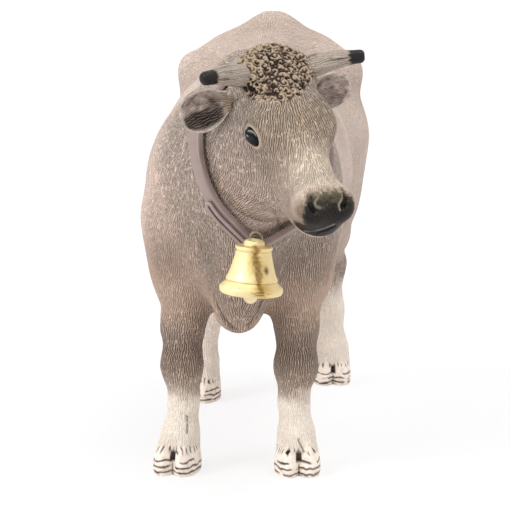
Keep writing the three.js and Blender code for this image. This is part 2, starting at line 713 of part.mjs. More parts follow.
// Tail and udder.
function tailSolid(spare = 0) {
  const centres = extendRoot(tailShares.map(([across, along, up]) =>
    new Vector3(...trunkNode([across, along, up, 0]))), spare);
  const rings = tailShares.map(([, , , share], i) => {
    const before = centres[Math.max(0, i - 1)], after = centres[Math.min(tailShares.length - 1, i + 1)];
    const axis = new Vector3().subVectors(after, before).normalize();
    const first = new Vector3(1, 0, 0);
    const second = new Vector3().crossVectors(axis, first).normalize();
    return Array.from({ length: tailSides }, (_, j) => {
      const turn = (j / tailSides) * wholeTurn;
      const radius = share * trunk.halfWidth + spare;
      return centres[i].clone()
        .addScaledVector(first, radius * Math.cos(turn)).addScaledVector(second, radius * Math.sin(turn));
    });
  });
  return solidOf(loft(rings, false));
}

function udderSolid(spare = 0) {
  const radii = onTrunk(udderShares.size).map((radius) => radius + spare);
  const bag = ballSolid(onTrunk(udderShares.at), radii, 16);
  return [1, -1].flatMap((side) => teat.alongShares.map((along) => {
    const across = (udderShares.at[0] + side * teat.acrossShare) * trunk.halfWidth;
    const at = (share) => new Vector3(across, along * trunk.length, share * trunk.height);
    return barSolid(at(teat.topShare), at(teat.tipShare), teat.radius, teat.tipRadius, 8);
  })).reduce((whole, one) => whole.add(one), bag);
}

// Collar, its bell and what they hang by.
const strap = bandSolid(seamGap - collar.groove, collar.thickness, collar.width / 2);
const strapRoom = bandSolid(-collar.groove, collar.thickness + overrun, collar.width / 2 + seamGap);

// Height above the neck of a place on the strap's outside, and the foot of the hanger's tab there.
function strapTop(turn, along) {
  const [low, high] = bandRadii(turn);
  return low + ((high - low) * (along + collar.width / 2)) / collar.width + collar.thickness + seamGap;
}

const hangerBulge = (2 * hanger.halfWidth) / collar.reach;
const hangerTip = radians(hanger.to) + hangerBulge;
const onHanger = (along) => onCollar(hangerTip, strapTop(hangerTip, along) + hanger.height / 2, along);
const pinAxis = new Vector3(0, 1, 0);
const pinAt = onHanger(0).add(new Vector3(...bell.pinFromFoot));
const bellFrame = new Matrix4().makeTranslation(...pinAt.toArray())
  .multiply(new Matrix4().makeRotationY(radians(bell.lean)))
  .multiply(new Matrix4().makeRotationZ(wholeTurn / 4))
  .multiply(new Matrix4().makeTranslation(-bell.eyeOut, 0, -bell.eyeHeight));

function bellSolid() {
  const shell = turned(bellProfileShares.map(([r, z]) => [r * bell.rimRadius, z * bell.height]), bell.sides);
  const eyelet = ringSolid([bell.eyeOut, 0, bell.eyeHeight], bell.eyeRadius, bell.eyeThickness);
  const foot = barSolid(new Vector3(bell.eyeOut, 0, bell.eyeFootShare * bell.height),
    new Vector3(bell.eyeOut, 0, bell.eyeHeight - bell.eyeRadius), bell.eyeThickness, bell.eyeThickness, 8);
  const [barStart, barEnd] = [-1, 1].map((end) => new Vector3(end * bell.barReach, 0, bell.barHeight));
  const bar = barSolid(barStart, barEnd, bell.barRadius, bell.barRadius, 10);
  return shell.add(eyelet).add(foot).add(bar).transform(bellFrame.elements);
}

function clapperSolid() {
  const ring = ringSolid([0, 0, bell.barHeight], clapper.ringRadius, clapper.ringThickness);
  const [stemTop, stemEnd] = [bell.barHeight - clapper.ringRadius, -clapper.ballDrop]
    .map((height) => new Vector3(0, 0, height));
  const stem = barSolid(stemTop, stemEnd, clapper.stemRadius, clapper.stemRadius, 10);
  return ring.add(stem).add(ballSolid([0, 0, -clapper.ballDrop], Array(3).fill(clapper.ballRadius), 16))
    .transform(bellFrame.elements);
}

// The hanger is a long loop on the strap. At its lower end a tab holds the pin that the bell's eye hangs on.
function hangerSolid() {
  const from = radians(hanger.from), to = radians(hanger.to);
  const path = [];
  for (const [start, end, side] of [[from, to, 1], [to, from, -1]]) {
    for (let i = 0; i <= hanger.steps; i++)
      path.push([start + ((end - start) * i) / hanger.steps, side * hanger.halfWidth]);
    for (let i = 1; i < hanger.endSteps; i++) {
      const turn = (i / hanger.endSteps) * Math.PI;
      path.push([end + side * hangerBulge * Math.sin(turn), side * hanger.halfWidth * Math.cos(turn)]);
    }
  }
  const places = path.map(([turn, along]) => onCollar(turn, strapTop(turn, along), along));
  const rings = places.map((place, i) => {
    const ahead = places[(i + 1) % places.length], behind = places[(i + places.length - 1) % places.length];
    const out = onCollar(path[i][0], 1, 0).sub(onCollar(0, 0, 0)).normalize();
    const side = new Vector3().subVectors(ahead, behind).normalize().cross(out).normalize();
    const corner = (across, height) => place.clone()
      .addScaledVector(side, (across * hanger.bandWidth) / 2).addScaledVector(out, height);
    return [corner(-1, 0), corner(1, 0), corner(1, hanger.height), corner(-1, hanger.height)];
  });
  const loop = solidOf(loft(rings, true));
  const pin = (reach) => pinAt.clone().addScaledVector(pinAxis, reach);
  return loop.add(tabSolid([onHanger(0), onHanger(collar.width / 2), pin(hanger.pinBack)]))
    .add(barSolid(pin(-hanger.pinFront), pin(hanger.pinBack), hanger.pinRadius, hanger.pinRadius, 10))
    .add(barSolid(pin(-hanger.pinFront), pin(hanger.headLength - hanger.pinFront),
      hanger.headRadius, hanger.headRadius, 10));
}

// A flat tab along a run of points, its width across the figure.
function tabSolid(places) {
  const halfWidth = hanger.tabWidth / 2, halfThickness = hanger.tabThickness / 2;
  return solidOf(loft(places.map((place, i) => {
    const before = places[Math.max(0, i - 1)], after = places[Math.min(places.length - 1, i + 1)];
    const along = new Vector3().subVectors(after, before).normalize();
    const across = new Vector3(1, 0, 0).addScaledVector(along, -along.x).normalize();
    const out = new Vector3().crossVectors(across, along);
    return [[-1, -1], [1, -1], [1, 1], [-1, 1]].map(([a, b]) =>
      place.clone().addScaledVector(across, a * halfWidth).addScaledVector(out, b * halfThickness));
  }), false));
}

// Torso and head, parted across the neck under the strap.
const farEdge = 2 * trunk.length;
const neckSide = (low, high) =>
  boxSolid([-farEdge, -farEdge, low], [farEdge, farEdge, high]).transform(collarFrame.elements);
const neckStart = new Vector3(...onTrunk(collar.atShares));
const neckUp = new Vector3(0, 0, 1).transformDirection(collarFrame);

const torsoSurface = skin(hide, onTrunk(trunkSpaceShares.low), onTrunk(trunkSpaceShares.high), trunk.cell);
const torsoRoom = legs.map((leg) => leg.cutter).concat([tailSolid(seamGap), udderSolid(seamGap), strapRoom]);
const torso = torsoRoom.reduce((solid, cutter) => solid.subtract(cutter),
  largest(solidOf(torsoSurface).intersect(neckSide(-farEdge, -seamGap / 2))))
  .add(pegAlong(neckStart, neckUp, neckPeg));

const headSurface = skin(hide, onTrunk(headSpaceShares.low), onTrunk(headSpaceShares.high), head.cell);
const headRoom = sideNames.flatMap(([, side]) =>
  [hornSolid(side, seamGap), earSolid(side, seamGap), eyeSolid(side, eye.clearance), nostrilSolid(side)])
  .concat([strapRoom, pegAlong(neckStart, neckUp, neckPeg, seamGap)]);
const headSolid = headRoom.reduce((solid, cutter) => solid.subtract(cutter),
  largest(solidOf(headSurface).intersect(neckSide(seamGap / 2, farEdge))));

addPart("torso", torso, finishes.hide);
addPart("head", headSolid, finishes.hide);
for (const [name, side] of sideNames) {
  addPart(`horn_${name}`, hornSolid(side), finishes.horn);
  addPart(`ear_${name}`, earSolid(side), finishes.hide);
  addPart(`eye_${name}`, eyeSolid(side), finishes.eye);
}
for (const { name, moulding } of legs) addPart(name, moulding, finishes.hide);
addPart("tail", tailSolid(), finishes.hide);
addPart("udder", udderSolid(), finishes.udderSkin);
addPart("collar_strap", strap, finishes.leather);
addPart("bell_hanger", hangerSolid(), finishes.leather);
addPart("bell_shell", bellSolid(), finishes.gold);
addPart("clapper", clapperSolid(), finishes.gold);

export default root;
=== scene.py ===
"""The looks of a toy cow figure: coat, horns, eyes, hooves, collar and bell, around its fixed frame.

Lengths are in millimetres, in the figure's own frame, and become metres when a mesh is made.
"""

import math

import bpy
import numpy as np
from mathutils import Euler, Matrix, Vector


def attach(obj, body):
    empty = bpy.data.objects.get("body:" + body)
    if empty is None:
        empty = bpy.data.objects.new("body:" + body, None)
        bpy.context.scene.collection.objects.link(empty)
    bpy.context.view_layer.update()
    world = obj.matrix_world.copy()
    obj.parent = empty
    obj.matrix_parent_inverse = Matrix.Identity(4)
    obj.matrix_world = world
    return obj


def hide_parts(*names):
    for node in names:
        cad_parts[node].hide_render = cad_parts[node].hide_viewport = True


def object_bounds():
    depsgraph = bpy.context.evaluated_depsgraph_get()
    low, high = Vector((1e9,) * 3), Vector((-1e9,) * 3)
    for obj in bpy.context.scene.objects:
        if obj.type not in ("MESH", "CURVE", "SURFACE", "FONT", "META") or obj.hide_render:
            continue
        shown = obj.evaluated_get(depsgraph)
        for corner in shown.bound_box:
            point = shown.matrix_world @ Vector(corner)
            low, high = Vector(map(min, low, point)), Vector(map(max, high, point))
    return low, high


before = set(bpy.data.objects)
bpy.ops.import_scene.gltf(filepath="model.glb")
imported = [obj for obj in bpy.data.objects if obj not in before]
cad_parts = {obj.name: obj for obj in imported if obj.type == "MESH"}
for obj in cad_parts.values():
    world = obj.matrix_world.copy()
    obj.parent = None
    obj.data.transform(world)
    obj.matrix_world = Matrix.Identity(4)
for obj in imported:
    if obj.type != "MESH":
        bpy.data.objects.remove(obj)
cad_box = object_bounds()

MM = 0.001
STAND_CENTRE = np.array([1.25, -0.95, 0.0])  # middle of the figure's outline on the floor
FAR = 99.0  # a distance past everything
WHOLE_TURN = 2 * math.pi

# Camera: where it stands, how it is turned, and its lens for a picture 510 pixels wide.
PHOTO = {"size": 510, "focal_pixels": 1990.0}
CAMERA = {"at": (33.1, -393.5, 92.0), "turn": 4.7, "down": 8.0, "sensor": 36.0}

# Trunk. Shares are of half width across, length along and height up.
TRUNK = {"half_width": 21.0, "length": 100.0, "height": 84.0}
TRUNK_SCALE = np.array([TRUNK["half_width"], TRUNK["length"], TRUNK["height"]])
BLEND = {"trunk": 6.0, "spine": 5.0, "neck": 6.0, "brisket": 4.0, "leg": 4.0, "head": 5.0}
SWAY = {"rump": 1.4, "from_share": 0.05, "to_share": 0.4}
TRUNK_FORM_SHARES = {
    "barrel": ((0, 0.06, 0.635), (0.93, 0.36, 0.26)),
    "belly": ((0, 0.13, 0.55), (0.78, 0.26, 0.19)),
    "chest": ((0, -0.2, 0.6), (0.7, 0.17, 0.25)),
    "shoulder": ((0.5, -0.18, 0.555), (0.385, 0.13, 0.2)),
    "rump": ((0, 0.36, 0.71), (0.84, 0.19, 0.235)),
    "haunch": ((0.52, 0.37, 0.68), (0.44, 0.16, 0.17)),
    "thigh": ((0.46, 0.38, 0.53), (0.34, 0.13, 0.16)),
    "pin_bone": ((0.34, 0.5, 0.84), (0.2, 0.06, 0.07)),
}
# Chains of nodes: across, along, up and radius.
SPINE_SHARES = [
    (0, -0.15, 0.86, 0.2), (0, 0.08, 0.85, 0.19), (0, 0.28, 0.88, 0.18), (0, 0.42, 0.93, 0.17),
    (0, 0.52, 0.94, 0.15),
]
HIP_SHARES = [(0, 0.4, 0.93, 0.2), (0.42, 0.38, 0.885, 0.2), (0.74, 0.34, 0.855, 0.2)]
NECK_SHARES = [(0, -0.2, 0.68, 0.68), (0.12, -0.3, 0.7, 0.58), (0.28, -0.38, 0.725, 0.5)]
THROAT_SHARES = [(0, -0.28, 0.5, 0.46), (0.14, -0.36, 0.61, 0.34), (0.34, -0.42, 0.68, 0.31)]
CREST_SHARES = [(0, -0.14, 0.86, 0.22), (0.14, -0.26, 0.84, 0.23), (0.28, -0.36, 0.83, 0.25)]
BRISKET_SHARES = [
    (0.12, -0.4, 0.5, 0.2), (0.06, -0.385, 0.43, 0.2), (0.03, -0.355, 0.375, 0.16),
    (0.01, -0.28, 0.375, 0.15),
]

# Legs. A node is out, back, stride, up and thickness: shares of the leg's own sizes.
FORELEG = {
    "spread": 10.8, "foot_share": -0.305, "stride": 0.5, "height": 47.0, "thickness": 8.0,
    "hoof_out_share": 1.03, "blend": 2.5, "seam_height": 29.5, "seam_inner": 5.4, "seam_reach": 14.0,
    "seam_back": 5.3, "seam_stride_share": 0.0,
    "shares": [
        (1, 0.13, 0, 1, 0.85), (0.98, 0.16, 0, 0.75, 0.66), (0.99, 0.1, 0.3, 0.575, 0.46),
        (0.99, 0.06, 0.6, 0.41, 0.44), (0.96, 0.055, 0.9, 0.27, 0.31), (1, 0.035, 1, 0.14, 0.38),
        (1.02, -0.005, 1, 0.075, 0.42),
    ],
}
HINDLEG = {
    "spread": 13.8, "foot_share": 0.435, "stride": 10.5, "height": 58.0, "thickness": 9.5,
    "hoof_out_share": 1.0, "blend": 3.0, "seam_height": 31.0, "seam_inner": 7.4, "seam_reach": 14.0,
    "seam_back": 0.3, "seam_stride_share": 0.64,
    "shares": [
        (0.9, -0.06, 0.1, 0.97, 0.9), (0.94, -0.2, 0.3, 0.76, 0.62), (0.95, -0.07, 0.55, 0.61, 0.47),
        (0.94, 0.078, 0.76, 0.465, 0.36), (0.96, 0.052, 0.86, 0.29, 0.29), (1, 0.02, 0.97, 0.12, 0.34),
        (1, -0.01, 1, 0.065, 0.4),
    ],
}
HOOF = {"width": 8.7, "length": 11.0, "height": 5.4, "toe_out": 8.0, "blend": 0.9}
CLAW_SHARES = ((0.225, -0.05, 0.22), (0.268, 0.5, 0.92))
DEWCLAW_SHARES = ((0.18, 0.33, 1.45), (0.11, 0.12, 0.22))

# Head. In its own frame it faces -Y too. Shares are of half width, length and depth.
HEAD = {"at_shares": (0.2857, -0.43, 0.9107), "yaw": 34.0, "pitch": 49.0, "roll": -10.0, "blend": 2.5}
HEAD_SCALE = np.array([8.0, 34.3, 14.0])
HEAD_FORM_SHARES = {
    "cranium": ((0, -0.2, -0.07), (0.86, 0.25, 0.5)),
    "poll": ((0, -0.07, 0.05), (0.78, 0.15, 0.34)),
    "brow": ((0.6, -0.41, 0.08), (0.34, 0.125, 0.22)),
    "forehead": ((0, -0.39, 0), (0.82, 0.26, 0.41)),
    "cheek": ((0.5, -0.38, -0.45), (0.42, 0.26, 0.5)),
    "bridge": ((0, -0.65, -0.03), (0.5, 0.3, 0.31)),
    "midface": ((0, -0.6, -0.33), (0.56, 0.3, 0.34)),
    "muzzle": ((0, -0.865, -0.08), (0.6, 0.13, 0.31)),
    "nostril_wing": ((0.36, -0.915, 0.06), (0.25, 0.07, 0.155)),
    "lip": ((0, -0.86, -0.28), (0.48, 0.12, 0.17)),
    "jaw": ((0, -0.55, -0.62), (0.42, 0.32, 0.26)),
    "horn_base": ((0.66, -0.12, 0.14), (0.26, 0.08, 0.17)),
}
# Eye: its middle on the photo, the way of its longer axis, right and down, its half axes in pixels, how far
# its bead bulges and is sunk, and how much it turns to the camera.
EYE = {
    "centre": (252, 137), "long_way": (0.62, 0.78), "half_pixels": (10.8, 7.3), "bulge": 1.2, "sunk": 0.7,
    "to_camera": 0.9,
}

# Horns and ears, in the head's frame. A horn node ends with its radius as a share of the half width.
HORN_SHARES = [
    (0.52, -0.115, 0.18, 0.2), (0.7, -0.12, 0.215, 0.2), (0.88, -0.124, 0.26, 0.26),
    (1.15, -0.133, 0.33, 0.235), (1.42, -0.145, 0.39, 0.2), (1.66, -0.16, 0.44, 0.165),
    (1.84, -0.172, 0.475, 0.15), (1.9, -0.176, 0.485, 0.09),
]
EAR = {
    "root_shares": (0.96, -0.13, -0.2), "tip_shares": (2.02, -0.14, -0.45), "facing": {1: 22.0, -1: 40.0},
    "width": 4.0, "thickness": 0.9, "cup": 2.0,
}
EAR_WIDTH_SHARES = [
    (0, 0.46), (0.12, 0.62), (0.3, 0.88), (0.5, 1), (0.7, 0.96), (0.86, 0.74), (0.96, 0.42), (1, 0.18),
]

# Tail and udder, by the trunk's shares.
TAIL_SHARES = [
    (0.05, 0.49, 0.905, 0.1), (0.05, 0.545, 0.915, 0.105), (0.05, 0.58, 0.885, 0.095),
    (0.055, 0.595, 0.81, 0.075), (0.055, 0.6, 0.66, 0.06), (0.055, 0.6, 0.52, 0.055),
    (0.055, 0.6, 0.45, 0.065), (0.055, 0.6, 0.37, 0.11), (0.055, 0.6, 0.29, 0.1), (0.055, 0.598, 0.21, 0.02),
]
UDDER_SHARES = ((0.04, 0.285, 0.355), (0.28, 0.09, 0.075))
TEAT = {
    "across_share": 0.11, "along_shares": (0.25, 0.31), "top_share": 0.32, "tip_share": 0.265,
    "radius": 0.9, "tip_radius": 0.65, "blend": 0.9, "rosy": (25, 22.6),
}

# Collar. Its frame's z axis runs up the neck.
COLLAR = {
    "at_shares": (0.2476, -0.362, 0.7286), "yaw": 24.0, "lift": 27.0, "width": 3.2, "thickness": 1.1,
    "groove": 0.5, "reach": 26.0, "seat": 0.3,
}

# Bell. Its frame stands on the rim's plane, with x along its pin, to the rear.
BELL = {
    "pin_from_foot": (0.307, -3.42, 2.839), "lean": 4.0, "rim_radius": 5.55, "height": 9.6,
    "eye_out": 3.15, "eye_height": 9.3, "eye_radius": 0.9, "eye_thickness": 0.35, "eye_foot_share": 0.83,
    "bar_height": 5.8, "bar_radius": 0.36, "bar_reach": 2.9,
}
BELL_PROFILE_SHARES = [
    (0, 1), (0.19, 0.985), (0.31, 0.95), (0.35, 0.88), (0.57, 0.865), (0.585, 0.82), (0.56, 0.785),
    (0.59, 0.68), (0.65, 0.54), (0.73, 0.38), (0.82, 0.26), (0.8, 0.23), (0.88, 0.18), (0.99, 0.12),
    (1, 0.05), (0.95, 0), (0.82, 0), (0.72, 0.18), (0.6, 0.4), (0.5, 0.6), (0.45, 0.76), (0, 0.79),
]
CLAPPER = {
    "ring_radius": 1.06, "ring_thickness": 0.36, "stem_radius": 0.42, "ball_radius": 1.3, "ball_drop": 0.6,
}
HANGER = {
    "from": -46.0, "to": -16.5, "half_width": 0.8, "band_width": 0.75, "height": 0.65, "tab_width": 2.2,
    "tab_thickness": 0.8, "pin_radius": 0.25, "pin_back": 1.4, "pin_front": 0.98, "head_radius": 0.68,
    "head_length": 0.3,
}


# Boxes, by their corners, past which a part of the hide touches nothing, and the box of the whole hide.
BODY_BOX = ((-40, -70, 12), (40, 80, 110))
HEAD_BOX = ((-24, -80, 28), (36, -12, 100))
HIDE_BOX = ((-26, -76, -2), (30, 66, 90))
LEG_REACH = np.array([20, 28, 80])


# Fields. A field takes points, one per row, and gives their distances to a form, below zero inside it.

def ellipsoid(centre, radii):
    centre, radii = np.array(centre, float), np.array(radii, float)

    def field(points):
        scaled = (points - centre) / radii
        near = np.sqrt((scaled * scaled).sum(1))
        scaled /= radii
        slope = np.sqrt((scaled * scaled).sum(1))
        return np.where(slope > 0, near * (near - 1) / np.maximum(slope, 1e-12), -radii.min())

    return field


def rod(start, end):
    start, end = np.array(start, float), np.array(end, float)
    step = end[:3] - start[:3]

    def field(points):
        away = points - start[:3]
        along = np.clip(away @ step / (step @ step), 0, 1)
        away -= along[:, None] * step
        return np.sqrt((away * away).sum(1)) - start[3] - along * (end[3] - start[3])

    return field


def soft_min(a, b, blend):
    near = np.maximum(0, blend - np.abs(a - b))
    return np.minimum(a, b) - near * near / (4 * blend)


def join(fields, blend):
    def field(points):
        least = fields[0](points)
        for one in fields[1:]:
            least = soft_min(least, one(points), blend)
        return least

    return field


def chain(nodes, blend):
    return join([rod(a, b) for a, b in zip(nodes, nodes[1:])], blend)


def placed(field, matrix):
    inverse = np.array(matrix.inverted())
    return lambda points: field(points @ inverse[:3, :3].T + inverse[:3, 3])


def within(field, low, high):
    """The same field near a box, and far away beyond it, where it touches nothing."""
    low, high = np.array(low), np.array(high)

    def near_box(points):
        values = np.full(len(points), FAR)
        near = ((points > low) & (points < high)).all(1)
        if near.any():
            values[near] = field(points[near])
        return values

    return near_box


def twins(form, scale):
    """A form by its shares, and its twin on the other side unless it lies in the middle."""
    at, size = np.array(form[0]) * scale, np.array(form[1]) * scale
    sides = [1, -1] if at[0] else [0]
    return [ellipsoid((side * at[0], at[1], at[2]), size) for side in sides]


def all_twins(forms, scale):
    return [one for form in forms.values() for one in twins(form, scale)]


def on_trunk(shares):
    return np.array(shares) * TRUNK_SCALE


def trunk_node(node):
    return (*on_trunk(node[:3]), node[3] * TRUNK["half_width"])


def trunk_chain(nodes, blend):
    return chain([trunk_node(node) for node in nodes], blend)


def foot_at(leg):
    return leg["foot_share"] * TRUNK["length"]


def leg_nodes(leg, side):
    return [
        (side * out * leg["spread"], foot_at(leg) + back * leg["height"] + side * stride * leg["stride"],
         up * leg["height"], thick * leg["thickness"])
        for out, back, stride, up, thick in leg["shares"]
    ]


def hoof_frame(leg, side):
    place = (side * leg["spread"] * leg["hoof_out_share"], foot_at(leg) + side * leg["stride"], 0)
    return Matrix.Translation(place) @ Matrix.Rotation(side * math.radians(HOOF["toe_out"]), 4, "Z")


def hoof_field(leg, side):
    scale = np.array([HOOF["width"], HOOF["length"], HOOF["height"]])
    claws = join(twins(CLAW_SHARES, scale), HOOF["blend"])
    dewclaws = join(twins(DEWCLAW_SHARES, scale), HOOF["blend"])
    return placed(join([claws, dewclaws], HOOF["blend"]), hoof_frame(leg, side))


def leg_field(leg, side):
    whole = join([chain(leg_nodes(leg, side), leg["blend"]), hoof_field(leg, side)], leg["blend"] / 2)
    centre = np.array((side * leg["spread"], foot_at(leg) + side * leg["stride"] / 2, 0))
    return within(whole, centre - LEG_REACH, centre + LEG_REACH)


def turned_frame(at, pitch, roll, yaw):
    """A frame turned about its own z, then x, then y axis."""
    turn = (Matrix.Rotation(math.radians(yaw), 4, "Z") @ Matrix.Rotation(math.radians(pitch), 4, "X")
            @ Matrix.Rotation(math.radians(roll), 4, "Y"))
    return Matrix.Translation(tuple(at)) @ turn


HEAD_FRAME = turned_frame(on_trunk(HEAD["at_shares"]), HEAD["pitch"], HEAD["roll"], HEAD["yaw"])
COLLAR_FRAME = turned_frame(on_trunk(COLLAR["at_shares"]), 90 - COLLAR["lift"], 0, COLLAR["yaw"])
head_form = join(all_twins(HEAD_FORM_SHARES, HEAD_SCALE), HEAD["blend"])


def hide_field():
    spine = trunk_chain(SPINE_SHARES, BLEND["spine"])
    necks = [trunk_chain(shares, BLEND["neck"]) for shares in (NECK_SHARES, THROAT_SHARES, CREST_SHARES)]
    hips = [
        trunk_chain([(side * across, *rest) for across, *rest in HIP_SHARES], BLEND["spine"])
        for side in (1, -1)
    ]
    brisket = trunk_chain(BRISKET_SHARES, BLEND["brisket"])
    forms = join(all_twins(TRUNK_FORM_SHARES, TRUNK_SCALE), BLEND["trunk"])
    forms = join([forms, join(necks, BLEND["neck"])], BLEND["neck"])
    straight = join([forms, spine, *hips, brisket], BLEND["spine"])

    def body(points):
        span = SWAY["to_share"] - SWAY["from_share"]
        share = np.clip((points[:, 1] / TRUNK["length"] - SWAY["from_share"]) / span, 0, 1)
        return straight(points - np.stack([SWAY["rump"] * share, 0 * share, 0 * share], 1))

    legs = [leg_field(leg, side) for side in (1, -1) for leg in (FORELEG, HINDLEG)]
    head = within(placed(head_form, HEAD_FRAME), *HEAD_BOX)
    return join([join([within(body, *BODY_BOX), *legs], BLEND["leg"]), head], BLEND["head"])


hide = hide_field()


def slopes(field, points, step=0.002):
    """A field's values and its slope at points."""
    values = field(points)
    slope = np.stack([(field(points + step * axis) - values) / step for axis in np.eye(3)], 1)
    return values, slope


def settle(field, points, most, rounds=2):
    """Moves points near a field's surface onto it, each by no more than most."""
    for _ in range(rounds):
        values, slope = slopes(field, points)
        move = -values / np.maximum((slope * slope).sum(1), 0.25)
        points = points + slope * np.clip(move, -most, most)[:, None]
    return points


# Meshes as arrays of points and of triangles.

def surface_net(field, low, high, cell):
    """The surface of a field between two corners, with about one point in each cell it passes."""
    low = np.array(low, float)
    count = np.ceil((np.array(high) - low) / cell).astype(int) + 1
    axes = [low[i] + cell * np.arange(count[i]) for i in range(3)]
    grid = np.stack(np.meshgrid(*axes, indexing="ij"), -1)
    values = field(grid.reshape(-1, 3)).reshape(count)
    inside = values < 0
    cells = count - 1
    sums, crossings = np.zeros((*cells, 3)), np.zeros(cells)
    sides = []
    for axis in range(3):
        others = [one for one in range(3) if one != axis]
        first = tuple(slice(0, -1) if one == axis else slice(None) for one in range(3))
        second = tuple(slice(1, None) if one == axis else slice(None) for one in range(3))
        crossing = inside[first] != inside[second]
        gap = np.where(crossing, values[first] - values[second], 1)
        place = grid[first].copy()
        place[..., axis] += cell * np.where(crossing, values[first] / gap, 0)
        place *= crossing[..., None]
        for u in (0, 1):
            for v in (0, 1):
                part = [slice(None)] * 3
                part[others[0]] = slice(u, cells[others[0]] + u)
                part[others[1]] = slice(v, cells[others[1]] + v)
                sums += place[tuple(part)]
                crossings += crossing[tuple(part)]
        sides.append((axis, others, crossing, inside[first]))
    numbers = np.full(cells, -1)
    used = crossings > 0
    numbers[used] = np.arange(used.sum())
    points = sums[used] / crossings[used][:, None]
    faces = []
    for axis, (u, v), crossing, start_inside in sides:
        at = np.argwhere(crossing)
        at = at[(at[:, u] > 0) & (at[:, v] > 0) & (at[:, u] < cells[u]) & (at[:, v] < cells[v])]
        ring = []
        for back_u, back_v in ((1, 1), (0, 1), (0, 0), (1, 0)):
            corner = at.copy()
            corner[:, u] -= back_u
            corner[:, v] -= back_v
            ring.append(numbers[tuple(corner.T)])
        ring = np.stack(ring, 1)
        outward = start_inside[tuple(at.T)] ^ (axis == 1)
        ring[~outward] = ring[~outward][:, ::-1]
        faces.append(ring)
    quads = np.concatenate(faces)
    p = points[quads]
    straight = np.linalg.norm(p[:, 0] - p[:, 2], axis=1) < np.linalg.norm(p[:, 1] - p[:, 3], axis=1)
    triangles = np.concatenate([
        quads[straight][:, [0, 1, 2]], quads[straight][:, [0, 2, 3]],
        quads[~straight][:, [0, 1, 3]], quads[~straight][:, [1, 2, 3]],
    ])
    return settle(field, points, cell / 2, 3), triangles


def edge_numbers(faces):
    """The edges of triangles without repeats, and each triangle's three edges by number."""
    ends = np.sort(faces[:, [0, 1, 1, 2, 2, 0]].reshape(-1, 2), axis=1)
    keys, numbers = np.unique(ends[:, 0] * (faces.max() + 1) + ends[:, 1], return_inverse=True)
    pairs = np.stack([keys // (faces.max() + 1), keys % (faces.max() + 1)], 1)
    return pairs, numbers.reshape(-1, 3)


def refine(points, faces, field, wanted, extra=None):
    """Halves the edges of each triangle that is larger than wanted where it lies. Extra holds further values
    of the points, and new points take the middle of them."""
    size = np.linalg.norm(points[faces[:, 0]] - points[faces[:, 1]], axis=1)
    size = np.maximum(size, np.linalg.norm(points[faces[:, 1]] - points[faces[:, 2]], axis=1))
    large = size > wanted(points[faces].mean(1))
    pairs, numbers = edge_numbers(faces)
    split = np.zeros(len(pairs), bool)
    split[numbers[large].ravel()] = True
    middles = points[pairs[split]].mean(1)
    middles = settle(field, middles, size.max() / 2, 1)
    new = np.full(len(pairs), -1)
    new[split] = len(points) + np.arange(split.sum())
    middle = new[numbers]
    parts = (middle >= 0).sum(1)
    result = [faces[parts == 0]]
    a, b, c = faces[parts == 3].T
    ab, bc, ca = middle[parts == 3].T
    result += [np.stack(one, 1) for one in ((a, ab, ca), (ab, b, bc), (ca, bc, c), (ab, bc, ca))]
    for start in range(3):
        turn = [start, (start + 1) % 3, (start + 2) % 3]
        one = (parts == 1) & (middle[:, start] >= 0)
        a, b, c = faces[one][:, turn].T
        m = middle[one][:, start]
        result += [np.stack((a, m, c), 1), np.stack((m, b, c), 1)]
        two = (parts == 2) & (middle[:, turn[2]] < 0)
        a, b, c = faces[two][:, turn].T
        m, n = middle[two][:, turn[0]], middle[two][:, turn[1]]
        result += [np.stack((m, b, n), 1), np.stack((a, m, n), 1), np.stack((a, n, c), 1)]
    if extra is None:
        return np.concatenate([points, middles]), np.concatenate(result)
    extra = np.concatenate([extra, extra[pairs[split]].mean(1)])
    return np.concatenate([points, middles]), np.concatenate(result), extra


def snap(points, faces, cut):
    """Moves points along edges onto the zero of cut, so that no triangle lies on both its sides."""
    values = cut(points)
    pairs, _ = edge_numbers(faces)
    start, end = values[pairs[:, 0]], values[pairs[:, 1]]
    crossing = start * end < 0
    pairs, start, end = pairs[crossing], start[crossing], end[crossing]
    share = start / (start - end)
    places = points[pairs[:, 0]] * (1 - share[:, None]) + points[pairs[:, 1]] * share[:, None]
    nearer = np.where(np.abs(start) < np.abs(end), pairs[:, 0], pairs[:, 1])
    points = points.copy()
    points[nearer] = places
    values[nearer] = 0
    return points, values


def unit(rows):
    """A vector, or rows of them, with a length of one."""
    return rows / np.maximum(np.linalg.norm(rows, axis=-1, keepdims=True), 1e-9)


def spin(count):
    """Even turns right round, in radians."""
    return np.arange(count) / count * WHOLE_TURN


def normals_of(points, faces):
    corners = points[faces]
    across = np.cross(corners[:, 1] - corners[:, 0], corners[:, 2] - corners[:, 0])
    total = np.zeros_like(points)
    for corner in range(3):
        for axis in range(3):
            total[:, axis] += np.bincount(faces[:, corner], across[:, axis], len(points))
    return unit(total)


def boundary_loops(faces):
    """The rims of an open mesh, each as a list of point numbers in order."""
    pairs = faces[:, [0, 1, 1, 2, 2, 0]].reshape(-1, 2)
    size = faces.max() + 1
    forward, backward = pairs[:, 0] * size + pairs[:, 1], pairs[:, 1] * size + pairs[:, 0]
    open_pairs = pairs[~np.isin(forward, backward)]
    following = {int(a): int(b) for a, b in open_pairs}
    loops = []
    while following:
        start, after = following.popitem()
        loop = [start]
        while after != start and after in following:
            loop.append(after)
            after = following.pop(after)
        loops.append(loop)
    return loops


# Noise that repeats from run to run: a hash of whole-number corners, smoothed between them.

